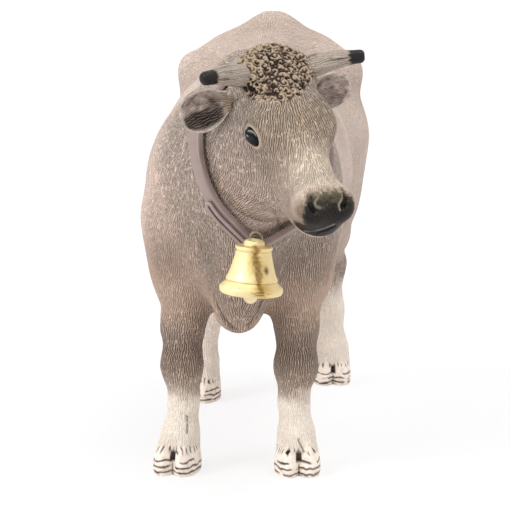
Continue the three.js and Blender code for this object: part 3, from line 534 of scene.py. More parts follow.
def corner_noise(whole, seed):
    mixed = (whole[:, 0] * 374761393 + whole[:, 1] * 668265263 + whole[:, 2] * 2147483647 + seed * 1274126177)
    mixed = (mixed ^ (mixed >> 13)) & 0xFFFFFFFF
    mixed = (mixed * 1274126177) & 0xFFFFFFFF
    mixed ^= mixed >> 16
    return (mixed & 0xFFFFFF) / float(0xFFFFFF) * 2 - 1


def noise(points, cell, seed=0):
    """Smooth noise from -1 to 1 with one bump for each cell."""
    scaled = points / cell
    whole = np.floor(scaled).astype(np.int64)
    part = scaled - whole
    part = part * part * (3 - 2 * part)
    total = np.zeros(len(points))
    for corner in range(8):
        offset = np.array([corner & 1, (corner >> 1) & 1, corner >> 2])
        weight = np.prod(np.where(offset, part, 1 - part), axis=1)
        total += weight * corner_noise(whole + offset, seed)
    return total


def streaks(points, flow, length, cell, seed=0, samples=11):
    """Noise smeared along flow: strokes of about twice that length, a cell wide, from -1 to 1."""
    total = np.zeros(len(points))
    for share in np.linspace(-1, 1, samples):
        total += noise(points + flow * (share * length), cell, seed) * (1 - 0.5 * abs(share))
    return np.clip(total / samples * 2.6, -1, 1)


def smooth_step(low, high, value):
    share = np.clip((value - low) / (high - low), 0, 1)
    return share * share * (3 - 2 * share)


def bump(distance, width):
    """One at distance zero, and none past width."""
    share = np.clip(1 - np.abs(distance) / width, 0, 1)
    return share * share * (3 - 2 * share)


# Colours are given as they look, from 0 to 255, and turned into Blender's linear values.

def linear(colour):
    share = np.array(colour, float) / 255
    return np.where(share <= 0.04045, share / 12.92, ((share + 0.055) / 1.055) ** 2.4)


def plain(colour, points):
    """One colour for every point."""
    return np.tile(linear(colour), (len(points), 1))


def coated(paint, *coats):
    """Paint under coats, each a colour and how far it covers every point."""
    for colour, share in coats:
        paint = paint + (linear(colour) - paint) * np.clip(share, 0, 1)[:, None]
    return paint


def make_piece(node, points, faces, material, slot, body="root", ending="shown", normals=None, **layers):
    """A mesh object from arrays, in the frame's place, riding on a body and standing for a CAD node.
    Layers are further values of its points: colours in "paint", and numbers or vectors in the rest."""
    faces = np.ascontiguousarray(faces, dtype=np.int32)
    points = np.clip(points, *(np.array(cad_box) / MM + STAND_CENTRE))
    mesh = bpy.data.meshes.new(f"{node}_{ending}")
    mesh.vertices.add(len(points))
    mesh.vertices.foreach_set("co", ((points - STAND_CENTRE) * MM).astype(np.float32).ravel())
    mesh.loops.add(faces.size)
    mesh.loops.foreach_set("vertex_index", faces.ravel())
    mesh.polygons.add(len(faces))
    mesh.polygons.foreach_set("loop_start", np.arange(0, faces.size, faces.shape[1], dtype=np.int32))
    mesh.update(calc_edges=True)
    mesh.validate()
    mesh.shade_smooth()
    for layer, values in layers.items():
        values = np.asarray(values, np.float32)
        if layer == "paint":
            values = np.concatenate([values, np.ones((len(values), 1), np.float32)], 1)
            mesh.color_attributes.new(layer, "FLOAT_COLOR", "POINT").data.foreach_set("color", values.ravel())
        elif values.ndim == 2:
            mesh.attributes.new(layer, "FLOAT_VECTOR", "POINT").data.foreach_set("vector", values.ravel())
        else:
            mesh.attributes.new(layer, "FLOAT", "POINT").data.foreach_set("value", values)
    if normals is not None:
        mesh.normals_split_custom_set_from_vertices(normals.tolist())
    piece = bpy.data.objects.new(f"{node}_{ending}", mesh)
    bpy.context.scene.collection.objects.link(piece)
    mesh.materials.append(material)
    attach(piece, body)
    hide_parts(node)


# Where the photo's places lie on the hide, by its pixels.

def camera_axes():
    turn, down = math.radians(CAMERA["turn"]), math.radians(CAMERA["down"])
    forward = np.array([-math.sin(turn) * math.cos(down), math.cos(turn) * math.cos(down), -math.sin(down)])
    right = np.array([math.cos(turn), math.sin(turn), 0])
    return forward, right, np.cross(right, forward)


FORWARD, RIGHT, UP = camera_axes()
PLACES = {}  # places on the hide that were found so far, by pixel
RAY = {"from": 320.0, "longest": 8, "share": 0.7, "near": 0.001, "steps": 200}


def on_hide(pixels):
    """The points of the hide that chosen pixels of the photo show."""
    new = sorted({pixel for pixel in pixels if pixel not in PLACES})
    if new:
        away = (np.array(new, float) - PHOTO["size"] / 2) / PHOTO["focal_pixels"]
        ray = unit(FORWARD + away[:, :1] * RIGHT - away[:, 1:] * UP)
        reach = np.full(len(ray), RAY["from"])
        for _ in range(RAY["steps"]):
            step = np.clip(hide(CAMERA["at"] + ray * reach[:, None]), -1, RAY["longest"])
            reach += step * RAY["share"]
            if np.abs(step).max() < RAY["near"]:
                break
        PLACES.update(zip(new, CAMERA["at"] + ray * reach[:, None]))
    return np.array([PLACES[pixel] for pixel in pixels])


def in_frame(points, matrix):
    inverse = np.array(matrix.inverted())
    return points @ inverse[:3, :3].T + inverse[:3, 3]


def from_frame(points, matrix):
    turn = np.array(matrix)
    return np.asarray(points, float) @ turn[:3, :3].T + turn[:3, 3]


def mirrored(points, matrix):
    """Points on the other side of a frame's middle plane."""
    return from_frame(in_frame(points, matrix) * (-1, 1, 1), matrix)


BODY_FRAME = Matrix.Identity(4)

# How the hairs lie: a pixel of the photo, and the way the strokes run there, right and down.
HEAD_HAIR = [
    ((262, 105), (-0.1, 1)), ((270, 128), (0, 1)), ((285, 122), (-0.45, 0.9)), ((312, 112), (0.6, 0.8)),
    ((275, 175), (-0.45, 0.9)), ((290, 165), (-0.4, 0.9)), ((300, 190), (-0.2, 1)),
    ((245, 170), (-0.35, 0.94)), ((265, 190), (-0.5, 0.87)), ((240, 200), (-0.75, 0.66)),
    ((222, 188), (-0.9, 0.4)), ((230, 213), (-0.8, 0.6)), ((255, 222), (-0.7, 0.7)), ((262, 160), (-0.2, 1)),
    ((235, 142), (-0.3, 0.95)), ((320, 150), (0.3, 0.95)),
]
BODY_HAIR = [
    ((165, 165), (-0.85, 0.5)), ((175, 200), (-0.75, 0.65)), ((160, 215), (-0.8, 0.6)),
    ((190, 215), (-0.5, 0.85)), ((203, 226), (0.5, 0.85)), ((214, 246), (0.3, 0.95)),
    ((180, 240), (-0.5, 0.85)), ((165, 250), (-0.3, 0.95)), ((185, 272), (-0.1, 1)), ((208, 270), (0.1, 1)),
    ((221, 262), (-0.25, 0.97)), ((317, 243), (0.5, 0.85)), ((303, 262), (0.3, 0.95)),
    ((310, 275), (0.45, 0.9)), ((296, 292), (0.25, 0.97)), ((288, 250), (-0.5, 0.85)),
    ((300, 312), (0.3, 0.95)), ((250, 310), (0, 1)), ((170, 300), (0, 1)),
]
HAIR = {"reach": 6.7, "drift": 0.05, "body": (0, 0.75, -0.65), "leg": (0, 0, -1), "head": (0, 0.5, -0.85)}


def hair_flow(points, normals, head_share, leg_share):
    """The way the hairs lie at points of the hide, as unit vectors along its surface."""
    turn = np.array(HEAD_FRAME)[:3, :3]
    flow = np.outer(1 - head_share, HAIR["body"]) + np.outer(head_share, turn @ HAIR["head"])
    flow = HAIR["drift"] * (flow * (1 - leg_share)[:, None] + np.outer(leg_share, HAIR["leg"]))
    for lies, frame_here in ((HEAD_HAIR, HEAD_FRAME), (BODY_HAIR, BODY_FRAME)):
        places = on_hide([pixel for pixel, _ in lies])
        ways = np.array([right * RIGHT - down * UP for _, (right, down) in lies])
        ends = mirrored(places + ways, frame_here)
        twins_here = mirrored(places, frame_here)
        for place, way in [*zip(places, ways), *zip(twins_here, ends - twins_here)]:
            away = points - place
            flow += np.exp(-(away * away).sum(1) / HAIR["reach"] ** 2)[:, None] * way
    flow += np.outer(leg_share * 2, HAIR["leg"])
    flow -= (flow * normals).sum(1)[:, None] * normals
    return unit(flow)


# Camera.

def add_camera():
    data = bpy.data.cameras.new("camera")
    data.sensor_width = CAMERA["sensor"]
    data.lens = CAMERA["sensor"] * PHOTO["focal_pixels"] / PHOTO["size"]
    data.clip_start, data.clip_end = 0.01, 100
    camera = bpy.data.objects.new("camera", data)
    camera.location = (np.array(CAMERA["at"]) - STAND_CENTRE) * MM
    camera.rotation_euler = (math.radians(90 - CAMERA["down"]), 0, math.radians(CAMERA["turn"]))
    bpy.context.scene.collection.objects.link(camera)
    bpy.context.scene.camera = camera


# Materials.

class Graph:
    """The nodes of a material or of the world."""

    def __init__(self, tree):
        self.nodes, self.links = tree.nodes, tree.links

    def fill(self, node, inputs):
        """Gives inputs, by name or number, their sockets, numbers or colours."""
        for name, value in inputs.items():
            if isinstance(value, bpy.types.NodeSocket):
                self.links.new(value, node.inputs[name])
            else:
                node.inputs[name].default_value = (*linear(value), 1) if isinstance(value, tuple) else value

    def add(self, kind, output, inputs, **settings):
        node = self.nodes.new("ShaderNode" + kind)
        for name, value in settings.items():
            setattr(node, name, value)
        self.fill(node, inputs)
        return node.outputs[output]

    def math(self, operation, *values):
        return self.add("Math", "Value", dict(enumerate(values)), operation=operation)

    def place(self, kind="Object"):
        return self.add("TexCoord", kind, {})

    def layer(self, name, output="Fac"):
        return self.add("Attribute", output, {}, attribute_name=name)

    def noise(self, scale, detail=4.0):
        return self.add("TexNoise", "Fac", {
            "Scale": scale, "Detail": detail, "Roughness": 0.6, "Vector": self.place()})

    def ramp(self, value, low, high, to_low=0.0, to_high=1.0):
        return self.add("MapRange", "Result", {
            "Value": value, "From Min": low, "From Max": high, "To Min": to_low, "To Max": to_high})

    def mix(self, share, first, second, kind="RGBA"):
        return self.add("Mix", "Result", {"Factor": share, "A": first, "B": second}, data_type=kind)

    def bump(self, height, distance, **before):
        return self.add("Bump", "Normal", {
            "Height": height, "Distance": distance * MM, "Strength": 1, **before})

    def hairs(self, cell, period, strength):
        """Parallel hairs that run square to a piece's across layer: how high they stand, from none to one,
        and how strong they are. Cell is how far a hair runs on, and period its width with its groove."""
        node = self.nodes.new("ShaderNodeTexGabor")
        node.gabor_type = "3D"
        self.fill(node, {"Scale": 1 / (cell * MM), "Frequency": cell / period, "Vector": self.place()})
        way = next(one for one in node.inputs if one.name == "Orientation" and one.type == "VECTOR")
        self.links.new(self.layer("across", "Vector"), way)
        height = self.math("ABSOLUTE", self.math("SUBTRACT", node.outputs["Phase"], 0.5))
        clear = self.ramp(node.outputs["Intensity"], 0.03, 0.2, 0.3, 1.0)
        return self.math("MULTIPLY", height, 2.0), self.math("MULTIPLY", clear, strength)


def new_material(name):
    material = bpy.data.materials.new(name)
    material.use_nodes = True
    graph = Graph(material.node_tree)
    return material, graph, graph.nodes["Principled BSDF"]


GRIME, DUST, GRAIN_RATIO = (40, 30, 24), (250, 244, 236), 7


def painted_material(name, roughness, relief, grain_scale, metallic=0.0, tint=0.1, gloss=0.25):
    """A finish whose colours are painted on the mesh, with a fine grain over them."""
    material, graph, shader = new_material(name)
    fine, broad = graph.noise(grain_scale), graph.noise(grain_scale / GRAIN_RATIO, 3)
    grimy = graph.mix(graph.ramp(fine, 0.3, 0.7, 0, 2 * tint), graph.layer("paint", "Color"), GRIME)
    graph.fill(shader, {
        "Base Color": graph.mix(graph.ramp(broad, 0.35, 0.7, 0, tint), grimy, DUST),
        "Roughness": graph.ramp(broad, 0.3, 0.7, roughness - 0.06, roughness + 0.06),
        "Normal": graph.bump(fine, relief), "Metallic": metallic, "Specular IOR Level": gloss * 2,
    })
    return material


FUR = {
    "cell": 0.86, "period": 0.44, "tuft_cell": 2.2, "tuft_period": 1.05, "relief": 0.55, "grain_relief": 0.05,
    "grain_scale": 2400, "patch_scale": 300, "roughness": 0.72, "wet_roughness": 0.28, "specular": 0.22,
}
# The hairs' grooves are darkened, partly as painted shade, and their ridges are lightened as a painted
# highlight.
FUR_COLOURS = {"wash_and_shade": (82, 58, 44), "sheen": (255, 240, 226), "rosy": (232, 194, 178)}


def fur_material(name):
    """Carved hairs, which follow the across layer and are as strong as the hair layer says, with a dark wash
    that is partly painted shade in their grooves and a painted highlight on their ridges.
    """
    material, graph, shader = new_material(name)
    strength, gloss = graph.layer("hair"), graph.layer("gloss")
    hairs, strong = graph.hairs(FUR["cell"], FUR["period"], strength)
    tufts, tuft_strong = graph.hairs(FUR["tuft_cell"], FUR["tuft_period"], strength)
    fine, broad = graph.noise(FUR["grain_scale"]), graph.noise(FUR["patch_scale"], 3)
    dull = graph.ramp(gloss, 0.0, 0.6, 1.0, 0.0)
    colour = graph.layer("paint", "Color")
    # Painted shade in the grooves of tufts and hairs and a painted highlight on the hair ridges, then fine
    # grain and rosy patches.
    for share, weight, over in (
        (graph.ramp(tufts, 0.36, 0.05, 0, 0.36), tuft_strong, "wash_and_shade"),
        (graph.ramp(hairs, 0.34, 0.06, 0, 0.92), strong, "wash_and_shade"),
        (graph.ramp(hairs, 0.48, 0.9, 0, 0.72), strong, "sheen"),
        (graph.ramp(fine, 0.42, 0.72, 0, 0.2), 1.0, "wash_and_shade"),
        (graph.ramp(broad, 0.45, 0.7, 0, 0.1), dull, "rosy"),
    ):
        colour = graph.mix(graph.math("MULTIPLY", share, weight), colour, FUR_COLOURS[over])
    dry = graph.ramp(broad, 0.3, 0.7, FUR["roughness"] - 0.08, FUR["roughness"] + 0.08)
    normal = graph.bump(graph.math("MULTIPLY", hairs, strong), FUR["relief"])
    graph.fill(shader, {
        "Base Color": colour, "Roughness": graph.mix(gloss, dry, FUR["wet_roughness"], "FLOAT"),
        "Normal": graph.bump(fine, FUR["grain_relief"], Normal=normal), "Specular IOR Level": FUR["specular"],
    })
    return material


# Hide: one fine skin over trunk, head and legs, then cut into its six mouldings.

# The sizes of the skin's triangles, and where they are fine: the muzzle by the head's share, round the eyes
# by their own radius, the chest's front, the legs and the hooves.
SKIN = {"cell": 1.3, "curl": 0.2, "fine": 0.3, "middle": 0.6, "coarse": 1.1, "halvings": 4}
FINE = {"muzzle_share": -0.74, "eye_share": 2, "curl_spare_share": 0.02, "chest": -20, "leg": 24, "hoof": 6.5}
LEG_HAIR = {"none_above": 34, "all_below": 26}
GROOVE = {"depth": 0.55, "edge": 2.1, "floor": 1.7}
SOLE = {"height": 0.6, "flat": 1e-6}  # nothing stands out below that height, and the flat is on the floor
LEGS = [("foreleg", FORELEG), ("hindleg", HINDLEG)]

# Curls on the poll: the cap's lower edge by the head's shares, across and along.
CURL_EDGE_SHARES = (
    (-1.02, -0.9, -0.74, -0.36, 0.13, 0.77, 0.95), (-0.06, -0.17, -0.28, -0.37, -0.35, -0.2, 0),
)
CURL = {"cell": 1.25, "period": 0.84, "height": 0.34, "back_share": 0.1}


def head_shares(points):
    return in_frame(points, HEAD_FRAME) / HEAD_SCALE


def collar_along(points):
    return in_frame(points, COLLAR_FRAME)[:, 2]


def curl_share(shares, spare=0.0):
    """How much a place on the head, by its shares, belongs to the curly cap."""
    u, v, w = shares.T
    edge = np.interp(u, *CURL_EDGE_SHARES) - spare
    cap = smooth_step(-0.015, 0.02, v - edge) * smooth_step(-0.3, 0, w)
    return cap * smooth_step(CURL["back_share"] + 0.12, CURL["back_share"], v - 2 * spare)


def eye_rings(points, side):
    """How far out of the eye's middle points lie, with one at the rim of its ball."""
    x, y, z = in_frame(points, EYE_FRAMES[side]).T
    ring = np.hypot(y / EYE_RADII[1], z / EYE_RADII[2])
    ring[np.abs(x) > 3] = FAR
    return ring


def wanted_size(points):
    """How large a triangle of the skin may be: finer where the photo shows more."""
    shares = head_shares(points)
    y, z = points[:, 1], points[:, 2]
    on_head = collar_along(points) > -0.5
    size = np.where(on_head, SKIN["middle"], SKIN["coarse"])
    size[on_head & (shares[:, 1] < FINE["muzzle_share"])] = SKIN["fine"]
    nearer_eye = np.minimum(eye_rings(points, 1), eye_rings(points, -1))
    size[on_head & (nearer_eye < FINE["eye_share"])] = SKIN["fine"]
    size[on_head & (curl_share(shares, FINE["curl_spare_share"]) > 0)] = SKIN["curl"]
    size[~on_head & (((y < FINE["chest"]) & (z > FINE["leg"])) | (z < FINE["leg"]))] = SKIN["middle"]
    size[z < FINE["hoof"]] = SKIN["fine"]
    return size


def leg_cut(points, leg, side):
    middle = foot_at(leg) + side * leg["stride"] * leg["seam_stride_share"] + leg["seam_back"]
    return np.maximum.reduce([
        points[:, 2] - leg["seam_height"], leg["seam_inner"] - side * points[:, 0],
        np.abs(points[:, 1] - middle) - leg["seam_reach"],
    ])


def used_part(faces):
    used, numbers = np.unique(faces, return_inverse=True)
    return used, numbers.reshape(faces.shape)


def limb_shares(points):
    """How much points belong to the head, and to the legs."""
    on_head = smooth_step(-1, 1, collar_along(points))
    return on_head, smooth_step(LEG_HAIR["none_above"], LEG_HAIR["all_below"], points[:, 2]) * (1 - on_head)


def hide_skin():
    """The skin's points and triangles, the way of its hairs, and a number for each triangle's moulding."""
    points, faces = surface_net(hide, *HIDE_BOX, SKIN["cell"])
    normals = normals_of(points, faces)
    flow = hair_flow(points, normals, *limb_shares(points))
    for _ in range(SKIN["halvings"]):
        points, faces, flow = refine(points, faces, hide, wanted_size, flow)
    points, height = snap(points, faces, lambda p: p[:, 2])
    used, faces = used_part(faces[(height[faces] >= 0).all(1) & (height[faces] > 0).any(1)])
    points, flow = points[used], flow[used]
    moulding = np.zeros(len(faces), int)
    points, along = snap(points, faces, collar_along)
    moulding[(along[faces] >= 0).all(1)] = 1
    number = 2
    for _, leg in LEGS:
        for side in (1, -1):
            points, cut = snap(points, faces, lambda p: leg_cut(p, leg, side))
            moulding[(cut[faces] <= 0).all(1)] = number
            number += 1
    return points, faces, flow, moulding


def eye_frames():
    """Each eye's frame, out of its socket, along its opening and across it, and the radii of its bead."""
    place = on_hide([EYE["centre"]])[0]
    out = slopes(hide, place[None])[1][0]
    out = unit(unit(out) - EYE["to_camera"] * FORWARD)
    pixel = (place - CAMERA["at"]) @ FORWARD / PHOTO["focal_pixels"]
    right, down = EYE["long_way"]
    halves = []
    for (across, fall), half in zip(((right, down), (down, -right)), EYE["half_pixels"]):
        way = (across * RIGHT - fall * UP) * half * pixel
        halves.append(way - FORWARD * (way @ out) / (FORWARD @ out))
    axes, radii, _ = np.linalg.svd(np.column_stack(halves))
    long_way = axes[:, 0] * np.sign(axes[:, 0] @ halves[0])
    place = place - EYE["sunk"] * out
    corners = np.stack([place + out, place + long_way, place])
    frames = {}
    for side in (-1, 1):
        if side > 0:
            corners = mirrored(corners, HEAD_FRAME)
        out, long_way = corners[0] - corners[2], corners[1] - corners[2]
        turn = np.eye(4)
        turn[:3] = np.column_stack([out, long_way, np.cross(out, long_way), corners[2]])
        frames[side] = Matrix(turn.tolist())
    return frames, (EYE["bulge"], *radii)


EYE_FRAMES, EYE_RADII = eye_frames()


def line_distance(points, places):
    """How far points are from a line through places, and FAR beyond its neighbourhood."""
    places = np.asarray(places, float)
    near = ((points > places.min(0) - 3) & (points < places.max(0) + 3)).all(1)
    least = np.full(len(points), FAR)
    for start, end in zip(places, places[1:]):
        least[near] = np.minimum(least[near], rod((*start, 0), (*end, 0))(points[near]))
    return least


def curls(points, normals):
    """Small curled tufts, each wound about its own middle: high on a strand, and low beside it."""
    scaled = points / CURL["cell"]
    whole = np.floor(scaled).astype(np.int64)
    nearest = np.full(len(points), FAR)
    away, turn = np.zeros_like(points), np.zeros(len(points))
    for number in range(27):
        corner = whole + np.array([number % 3, number // 3 % 3, number // 9]) - 1
        jitter = np.stack([corner_noise(corner, seed) for seed in (11, 12, 13)], 1) * 0.45 + 0.5
        step = scaled - corner - jitter
        distance = (step * step).sum(1)
        nearer = distance < nearest
        nearest[nearer], away[nearer] = distance[nearer], step[nearer]
        turn[nearer] = corner_noise(corner[nearer], 14)
    across = unit(np.cross(normals, (0.3, 0.2, 0.93)))
    over = np.cross(across, normals)
    x, y = (away * across).sum(1) * CURL["cell"], (away * over).sum(1) * CURL["cell"]
    wound = WHOLE_TURN * np.hypot(x, y) / CURL["period"] + np.sign(turn) * np.arctan2(y, x)
    uneven = 0.85 * noise(points, 0.66, 16) + 0.35 * noise(points, 2.8, 17)
    return 0.48 * np.cos(wound + turn * math.pi) + uneven + 0.18


# Marks on the hide: a line through the photo's pixels, its half width and its height in mm, its colour, and
# how far that covers.
MARKS = {
    # Painted shade in the mouth's slit.
    "mouth": ([(304, 233.5), (320, 232), (335, 226.5)], 0.36, -0.4, (12, 10, 9), 1.0),
    # A painted highlight along the lip.
    "lip": ([(305, 231), (319, 229.5), (334, 224)], 0.28, 0.12, (150, 148, 144), 0.7),
    "muzzle_fold": ([(277, 209), (284, 224), (289, 238)], 0.4, 0.14, (216, 194, 172), 0.8),
    # Painted shade in the muzzle's crease.
    "muzzle_crease": ([(273, 210), (280, 226), (285, 240)], 0.4, -0.15, (120, 98, 82), 0.6),
    "right_nostril": ([(310, 194), (309, 200), (311, 206), (315, 211)], 0.95, -0.9, (8, 7, 6), 1.0),
    # A painted highlight on the nostril's curl.
    "right_nostril_curl": (
        [(318, 198), (314.5, 203), (316.5, 207), (320, 208)], 0.32, 0.4, (146, 138, 124), 0.8,
    ),
    "left_nostril": ([(343.5, 188.5), (346, 195), (346, 201), (344, 207)], 0.85, -0.9, (8, 7, 6), 1.0),
    # A pale edge on the nostril, partly a painted highlight.
    "left_nostril_edge": (
        [(342, 192), (342.5, 198), (338.5, 204.5), (340, 210)], 0.26, 0.3, (176, 164, 146), 0.75,
    ),
    # Painted shade in the shoulder's fold, the brisket's folds and the cannon slits.
    "shoulder_fold": ([(198, 240), (204, 252), (210, 262)], 0.45, -0.2, (120, 100, 86), 0.6),
    "brisket_right": ([(213, 296), (218, 310), (225, 321), (233, 328)], 0.9, -0.35, (74, 58, 48), 0.9),
    "brisket_left": ([(262, 302), (257, 316), (249, 325)], 0.8, -0.35, (74, 58, 48), 0.85),
    "right_cannon_slit": ([(187, 416), (187.5, 425), (187, 433)], 0.28, -0.15, (40, 30, 24), 0.95),
    "left_cannon_slit": ([(298, 439), (301, 446), (304, 452)], 0.26, -0.15, (40, 30, 24), 0.95),
}
MIRRORED_MARKS = {"muzzle_fold": HEAD_FRAME, "muzzle_crease": HEAD_FRAME, "shoulder_fold": BODY_FRAME}

# Tints: a photo pixel, its reach in mm, its colour and how far it covers.
COAT = (220, 200, 187)
BODY_TINTS = {
    # The rump's lighter tint is partly painted light falling from above.
    "rump": ((250, 50), 22, (230, 212, 196), 0.8),
    "shoulder": ((150, 250), 13, (255, 228, 211), 0.98),
    "shoulder_front": ((190, 262), 8, (246, 219, 202), 0.95),
    "flank": ((160, 110), 12, (222, 203, 192), 0.8),
    "neck": ((175, 190), 9, (246, 219, 202), 0.92),
    "dewlap": ((216, 262), 7, (208, 182, 163), 0.9),
    # The chest's darker tints are partly painted shade.
    "chest": ((300, 275), 12, (162, 137, 121), 1.0),
    "chest_left": ((320, 300), 9, (154, 132, 118), 0.9),
    "brisket": ((240, 315), 8, (166, 146, 132), 0.9),
    "brisket_side": ((205, 300), 6, (186, 162, 146), 0.7),
}
HEAD_TINTS = {
    "cheek": ((240, 180), 8, (238, 207, 190), 0.92),
    # The jaw's light tint is partly painted light on an underside that lies in shade.
    "jaw": ((255, 232), 6, (255, 232, 218), 0.95),
    "forehead": ((285, 125), 7, (196, 169, 138), 0.95),
    "brow": ((262, 120), 4, (186, 165, 143), 0.8),
    "ear_root": ((229, 108), 3.6, (128, 110, 86), 0.9),
    "under_eye": ((265, 168), 4, (200, 174, 154), 0.8),
    "bridge": ((312, 165), 5, (255, 234, 206), 0.95),
    # The muzzle's side tint is painted shade on its lower side.
    "muzzle_side": ((290, 214), 4, (160, 138, 122), 0.9),
    "nose_side": ((299, 212), 2.6, (116, 96, 80), 0.9),
    "muzzle_top": ((318, 180), 3.8, (234, 218, 196), 0.9),
    "chin": ((318, 243), 3, (196, 174, 156), 0.8),
}


def cavity(points, normals, reach):
    """How far the hide bends round points as a hollow, from none to one."""
    return np.clip(1 - hide(points + normals * reach) / reach, 0, 1)


class Skin:
    """The hide's points, and what is painted and carved there so far."""

    def __init__(self, points, normals, flow):
        self.points, self.normals, self.flow = points, normals, flow
        self.shares, self.along = head_shares(points), collar_along(points)
        self.on_head, self.on_leg = limb_shares(points)
        self.cap = curl_share(self.shares) * self.on_head
        self.curled = np.zeros(len(points))
        self.curled[self.cap > 0] = curls(points[self.cap > 0], normals[self.cap > 0])
        self.jaw = smooth_step(-0.8, -1.2, self.shares[:, 2]) * self.on_head
        self.relief, self.fur, self.nose = (np.zeros(len(points)) for _ in range(3))
        self.paint = plain(COAT, points)

    def coat(self, *coats):
        self.paint = coated(self.paint, *coats)


def add_fur(skin):
    """How strong the hairs are before the coat's colours, and the curls, tufts and collar's groove."""
    _, v, w = skin.shares.T
    on_body = 1 - skin.on_head
    muzzle = smooth_step(-0.78, -0.86, v) * skin.on_head * smooth_step(-0.6, -0.35, w)
    front = smooth_step(-14, -30, skin.points[:, 1]) * smooth_step(0.1, -0.7, skin.normals[:, 1])
    skin.fur = np.maximum.reduce([
        skin.on_head * (1 - 0.85 * muzzle) * (1 - 0.5 * skin.jaw), smooth_step(-24, -8, skin.along) * on_body,
        0.5 * front * on_body, 0.88 * skin.on_leg, np.full(len(v), 0.34),
    ])
    swells = noise(skin.points, 6.5, 21)
    skin.relief = CURL["height"] * skin.cap * (skin.curled - 0.35) + 0.16 * swells * on_body
    furry = (skin.fur * (1 - skin.cap) > 0.35) & (skin.points[:, 2] > 5)
    tall = (0.1 + 0.12 * skin.on_head * smooth_step(-0.75, -0.45, v)) * skin.fur
    skin.relief[furry] += tall[furry] * streaks(skin.points[furry], skin.flow[furry], 1.2, 0.65, 25, 7)
    skin.relief -= GROOVE["depth"] * smooth_step(GROOVE["edge"], GROOVE["floor"], np.abs(skin.along))


def add_tints(skin):
    for tints, frame_here in ((BODY_TINTS, BODY_FRAME), (HEAD_TINTS, HEAD_FRAME)):
        places = on_hide([tint[0] for tint in tints.values()])
        for place, (_, reach, colour, share) in zip(places, tints.values()):
            for at in (place, mirrored(place[None], frame_here)[0]):
                away = skin.points - at
                skin.coat((colour, share * np.exp(-(away * away).sum(1) / reach ** 2 * 1.2)))
    away = smooth_step(-24, -6, skin.points[:, 1])
    mottle = noise(skin.points, 9, 92) + 0.5 * noise(skin.points, 3.5, 93)
    # Random mottle on the body, and painted shade where the hide faces down.
    skin.coat(
        ((178, 156, 142), 0.4 * away * np.clip(mottle, 0, 1)),
        ((236, 220, 208), 0.4 * away * np.clip(-mottle, 0, 1)),
        ((168, 146, 132), 0.5 * away * smooth_step(0.2, -0.9, skin.normals[:, 2])),
    )


CREAM_TOPS = (23.5, 15.5)  # how high the cream reaches on the hind legs and on the forelegs
KNEE = {"height": 22, "reach": 7}


def add_leg_colours(skin):
    """Brown knees over cream shanks, with weaker hairs on the cream."""
    height, along = skin.points[:, 2], skin.points[:, 1]
    fore = smooth_step(8, -2, along)
    top = np.interp(fore, (0, 1), CREAM_TOPS) + 1.4 * noise(skin.points, 2.5, 35)
    cream = skin.on_leg * smooth_step(top + 3, top - 4, height)
    skin.coat(
        ((206, 176, 154), 0.9 * smooth_step(42, 32, height) * smooth_step(-5, -20, along)),
        ((128, 103, 86), 0.8 * bump(height - KNEE["height"], KNEE["reach"]) * fore * skin.on_leg),
        ((255, 244, 229), 0.97 * cream),
    )
    skin.fur *= 1 - 0.74 * cream


def thin_face_hair(skin):
    """Weaker hairs from the middle of the face down to the nose."""
    skin.fur *= 1 - 0.4 * skin.on_head * smooth_step(-0.5, -0.72, skin.shares[:, 1])


def add_shades(skin):
    """Painted shade in the hollows and at the collar's edges, an ochre band by the collar, and the curly
    cap's colours, darkest in its pits as painted shade.
    """
    cap, curled, along = skin.cap, skin.curled, skin.along
    hollow = 0.9 * cavity(skin.points, skin.normals, 1.6) + 0.25 * cavity(skin.points, skin.normals, 4)
    skin.coat(
        ((92, 72, 58), 0.7 * np.clip(hollow, 0, 1) * (1 - cap) * (1 - 0.6 * skin.jaw)),
        ((128, 100, 66), 0.65 * bump(along - 2.6, 1.6) * (1 - cap)),
        ((34, 26, 20), 0.8 * bump(along - 1.75, 0.4)),
        ((66, 50, 40), 0.5 * bump(along + 1.85, 0.5)),
        # The curly cap's colours, darkest in its pits as painted shade.
        ((182, 162, 139), cap),
        ((104, 87, 72), cap * smooth_step(0.5, 0.2, curled)),
        ((20, 15, 11), cap * smooth_step(0.14, -0.14, curled)),
    )


def add_nose(skin):
    """The bare nose with its brown edge, and an olive top."""
    u, v, w = skin.shares.T
    top, low = np.maximum(w, 0), smooth_step(-0.02, -0.25, w)
    edge = 0.94 - 0.24 * top - 0.06 * low + (0.12 - 0.08 * low) * np.maximum(np.abs(u + 0.05) - 0.35, 0)
    speckle = 0.014 * noise(skin.points, 0.5, 22) + 0.01 * noise(skin.points, 0.25, 23)
    front = smooth_step(-0.31, -0.27, w) * skin.on_head
    skin.nose = smooth_step(-0.015, 0.02, -v - edge + speckle) * front
    olive = smooth_step(0.17, 0.3, w + 3.5 * speckle) * smooth_step(0.6, 0.3, np.abs(u))
    skin.coat(
        ((112, 92, 70), 0.6 * smooth_step(-0.085, 0.0, -v - edge + 2.5 * speckle) * front),
        ((16, 15, 13), skin.nose),
        ((104, 96, 70), 0.7 * skin.nose * olive),
    )


def add_eyes(skin):
    """Each eye's socket, its rim and the fold round it."""
    for side in (1, -1):
        ring = np.where(skin.on_head > 0.5, eye_rings(skin.points, side), FAR)
        skin.relief = skin.relief * smooth_step(1.1, 1.6, ring) - 0.7 * smooth_step(1.04, 0.9, ring)
        skin.relief += 0.2 * bump(ring - 1.17, 0.16) - 0.08 * bump(ring - 1.5, 0.25)
        skin.coat(
            ((142, 122, 106), 0.7 * smooth_step(2.2, 1.4, ring)),
            ((190, 176, 160), 0.85 * bump(ring - 1.17, 0.13)),
            ((14, 12, 11), smooth_step(1.07, 0.99, ring)),
        )
        skin.fur *= smooth_step(1.2, 1.7, ring)


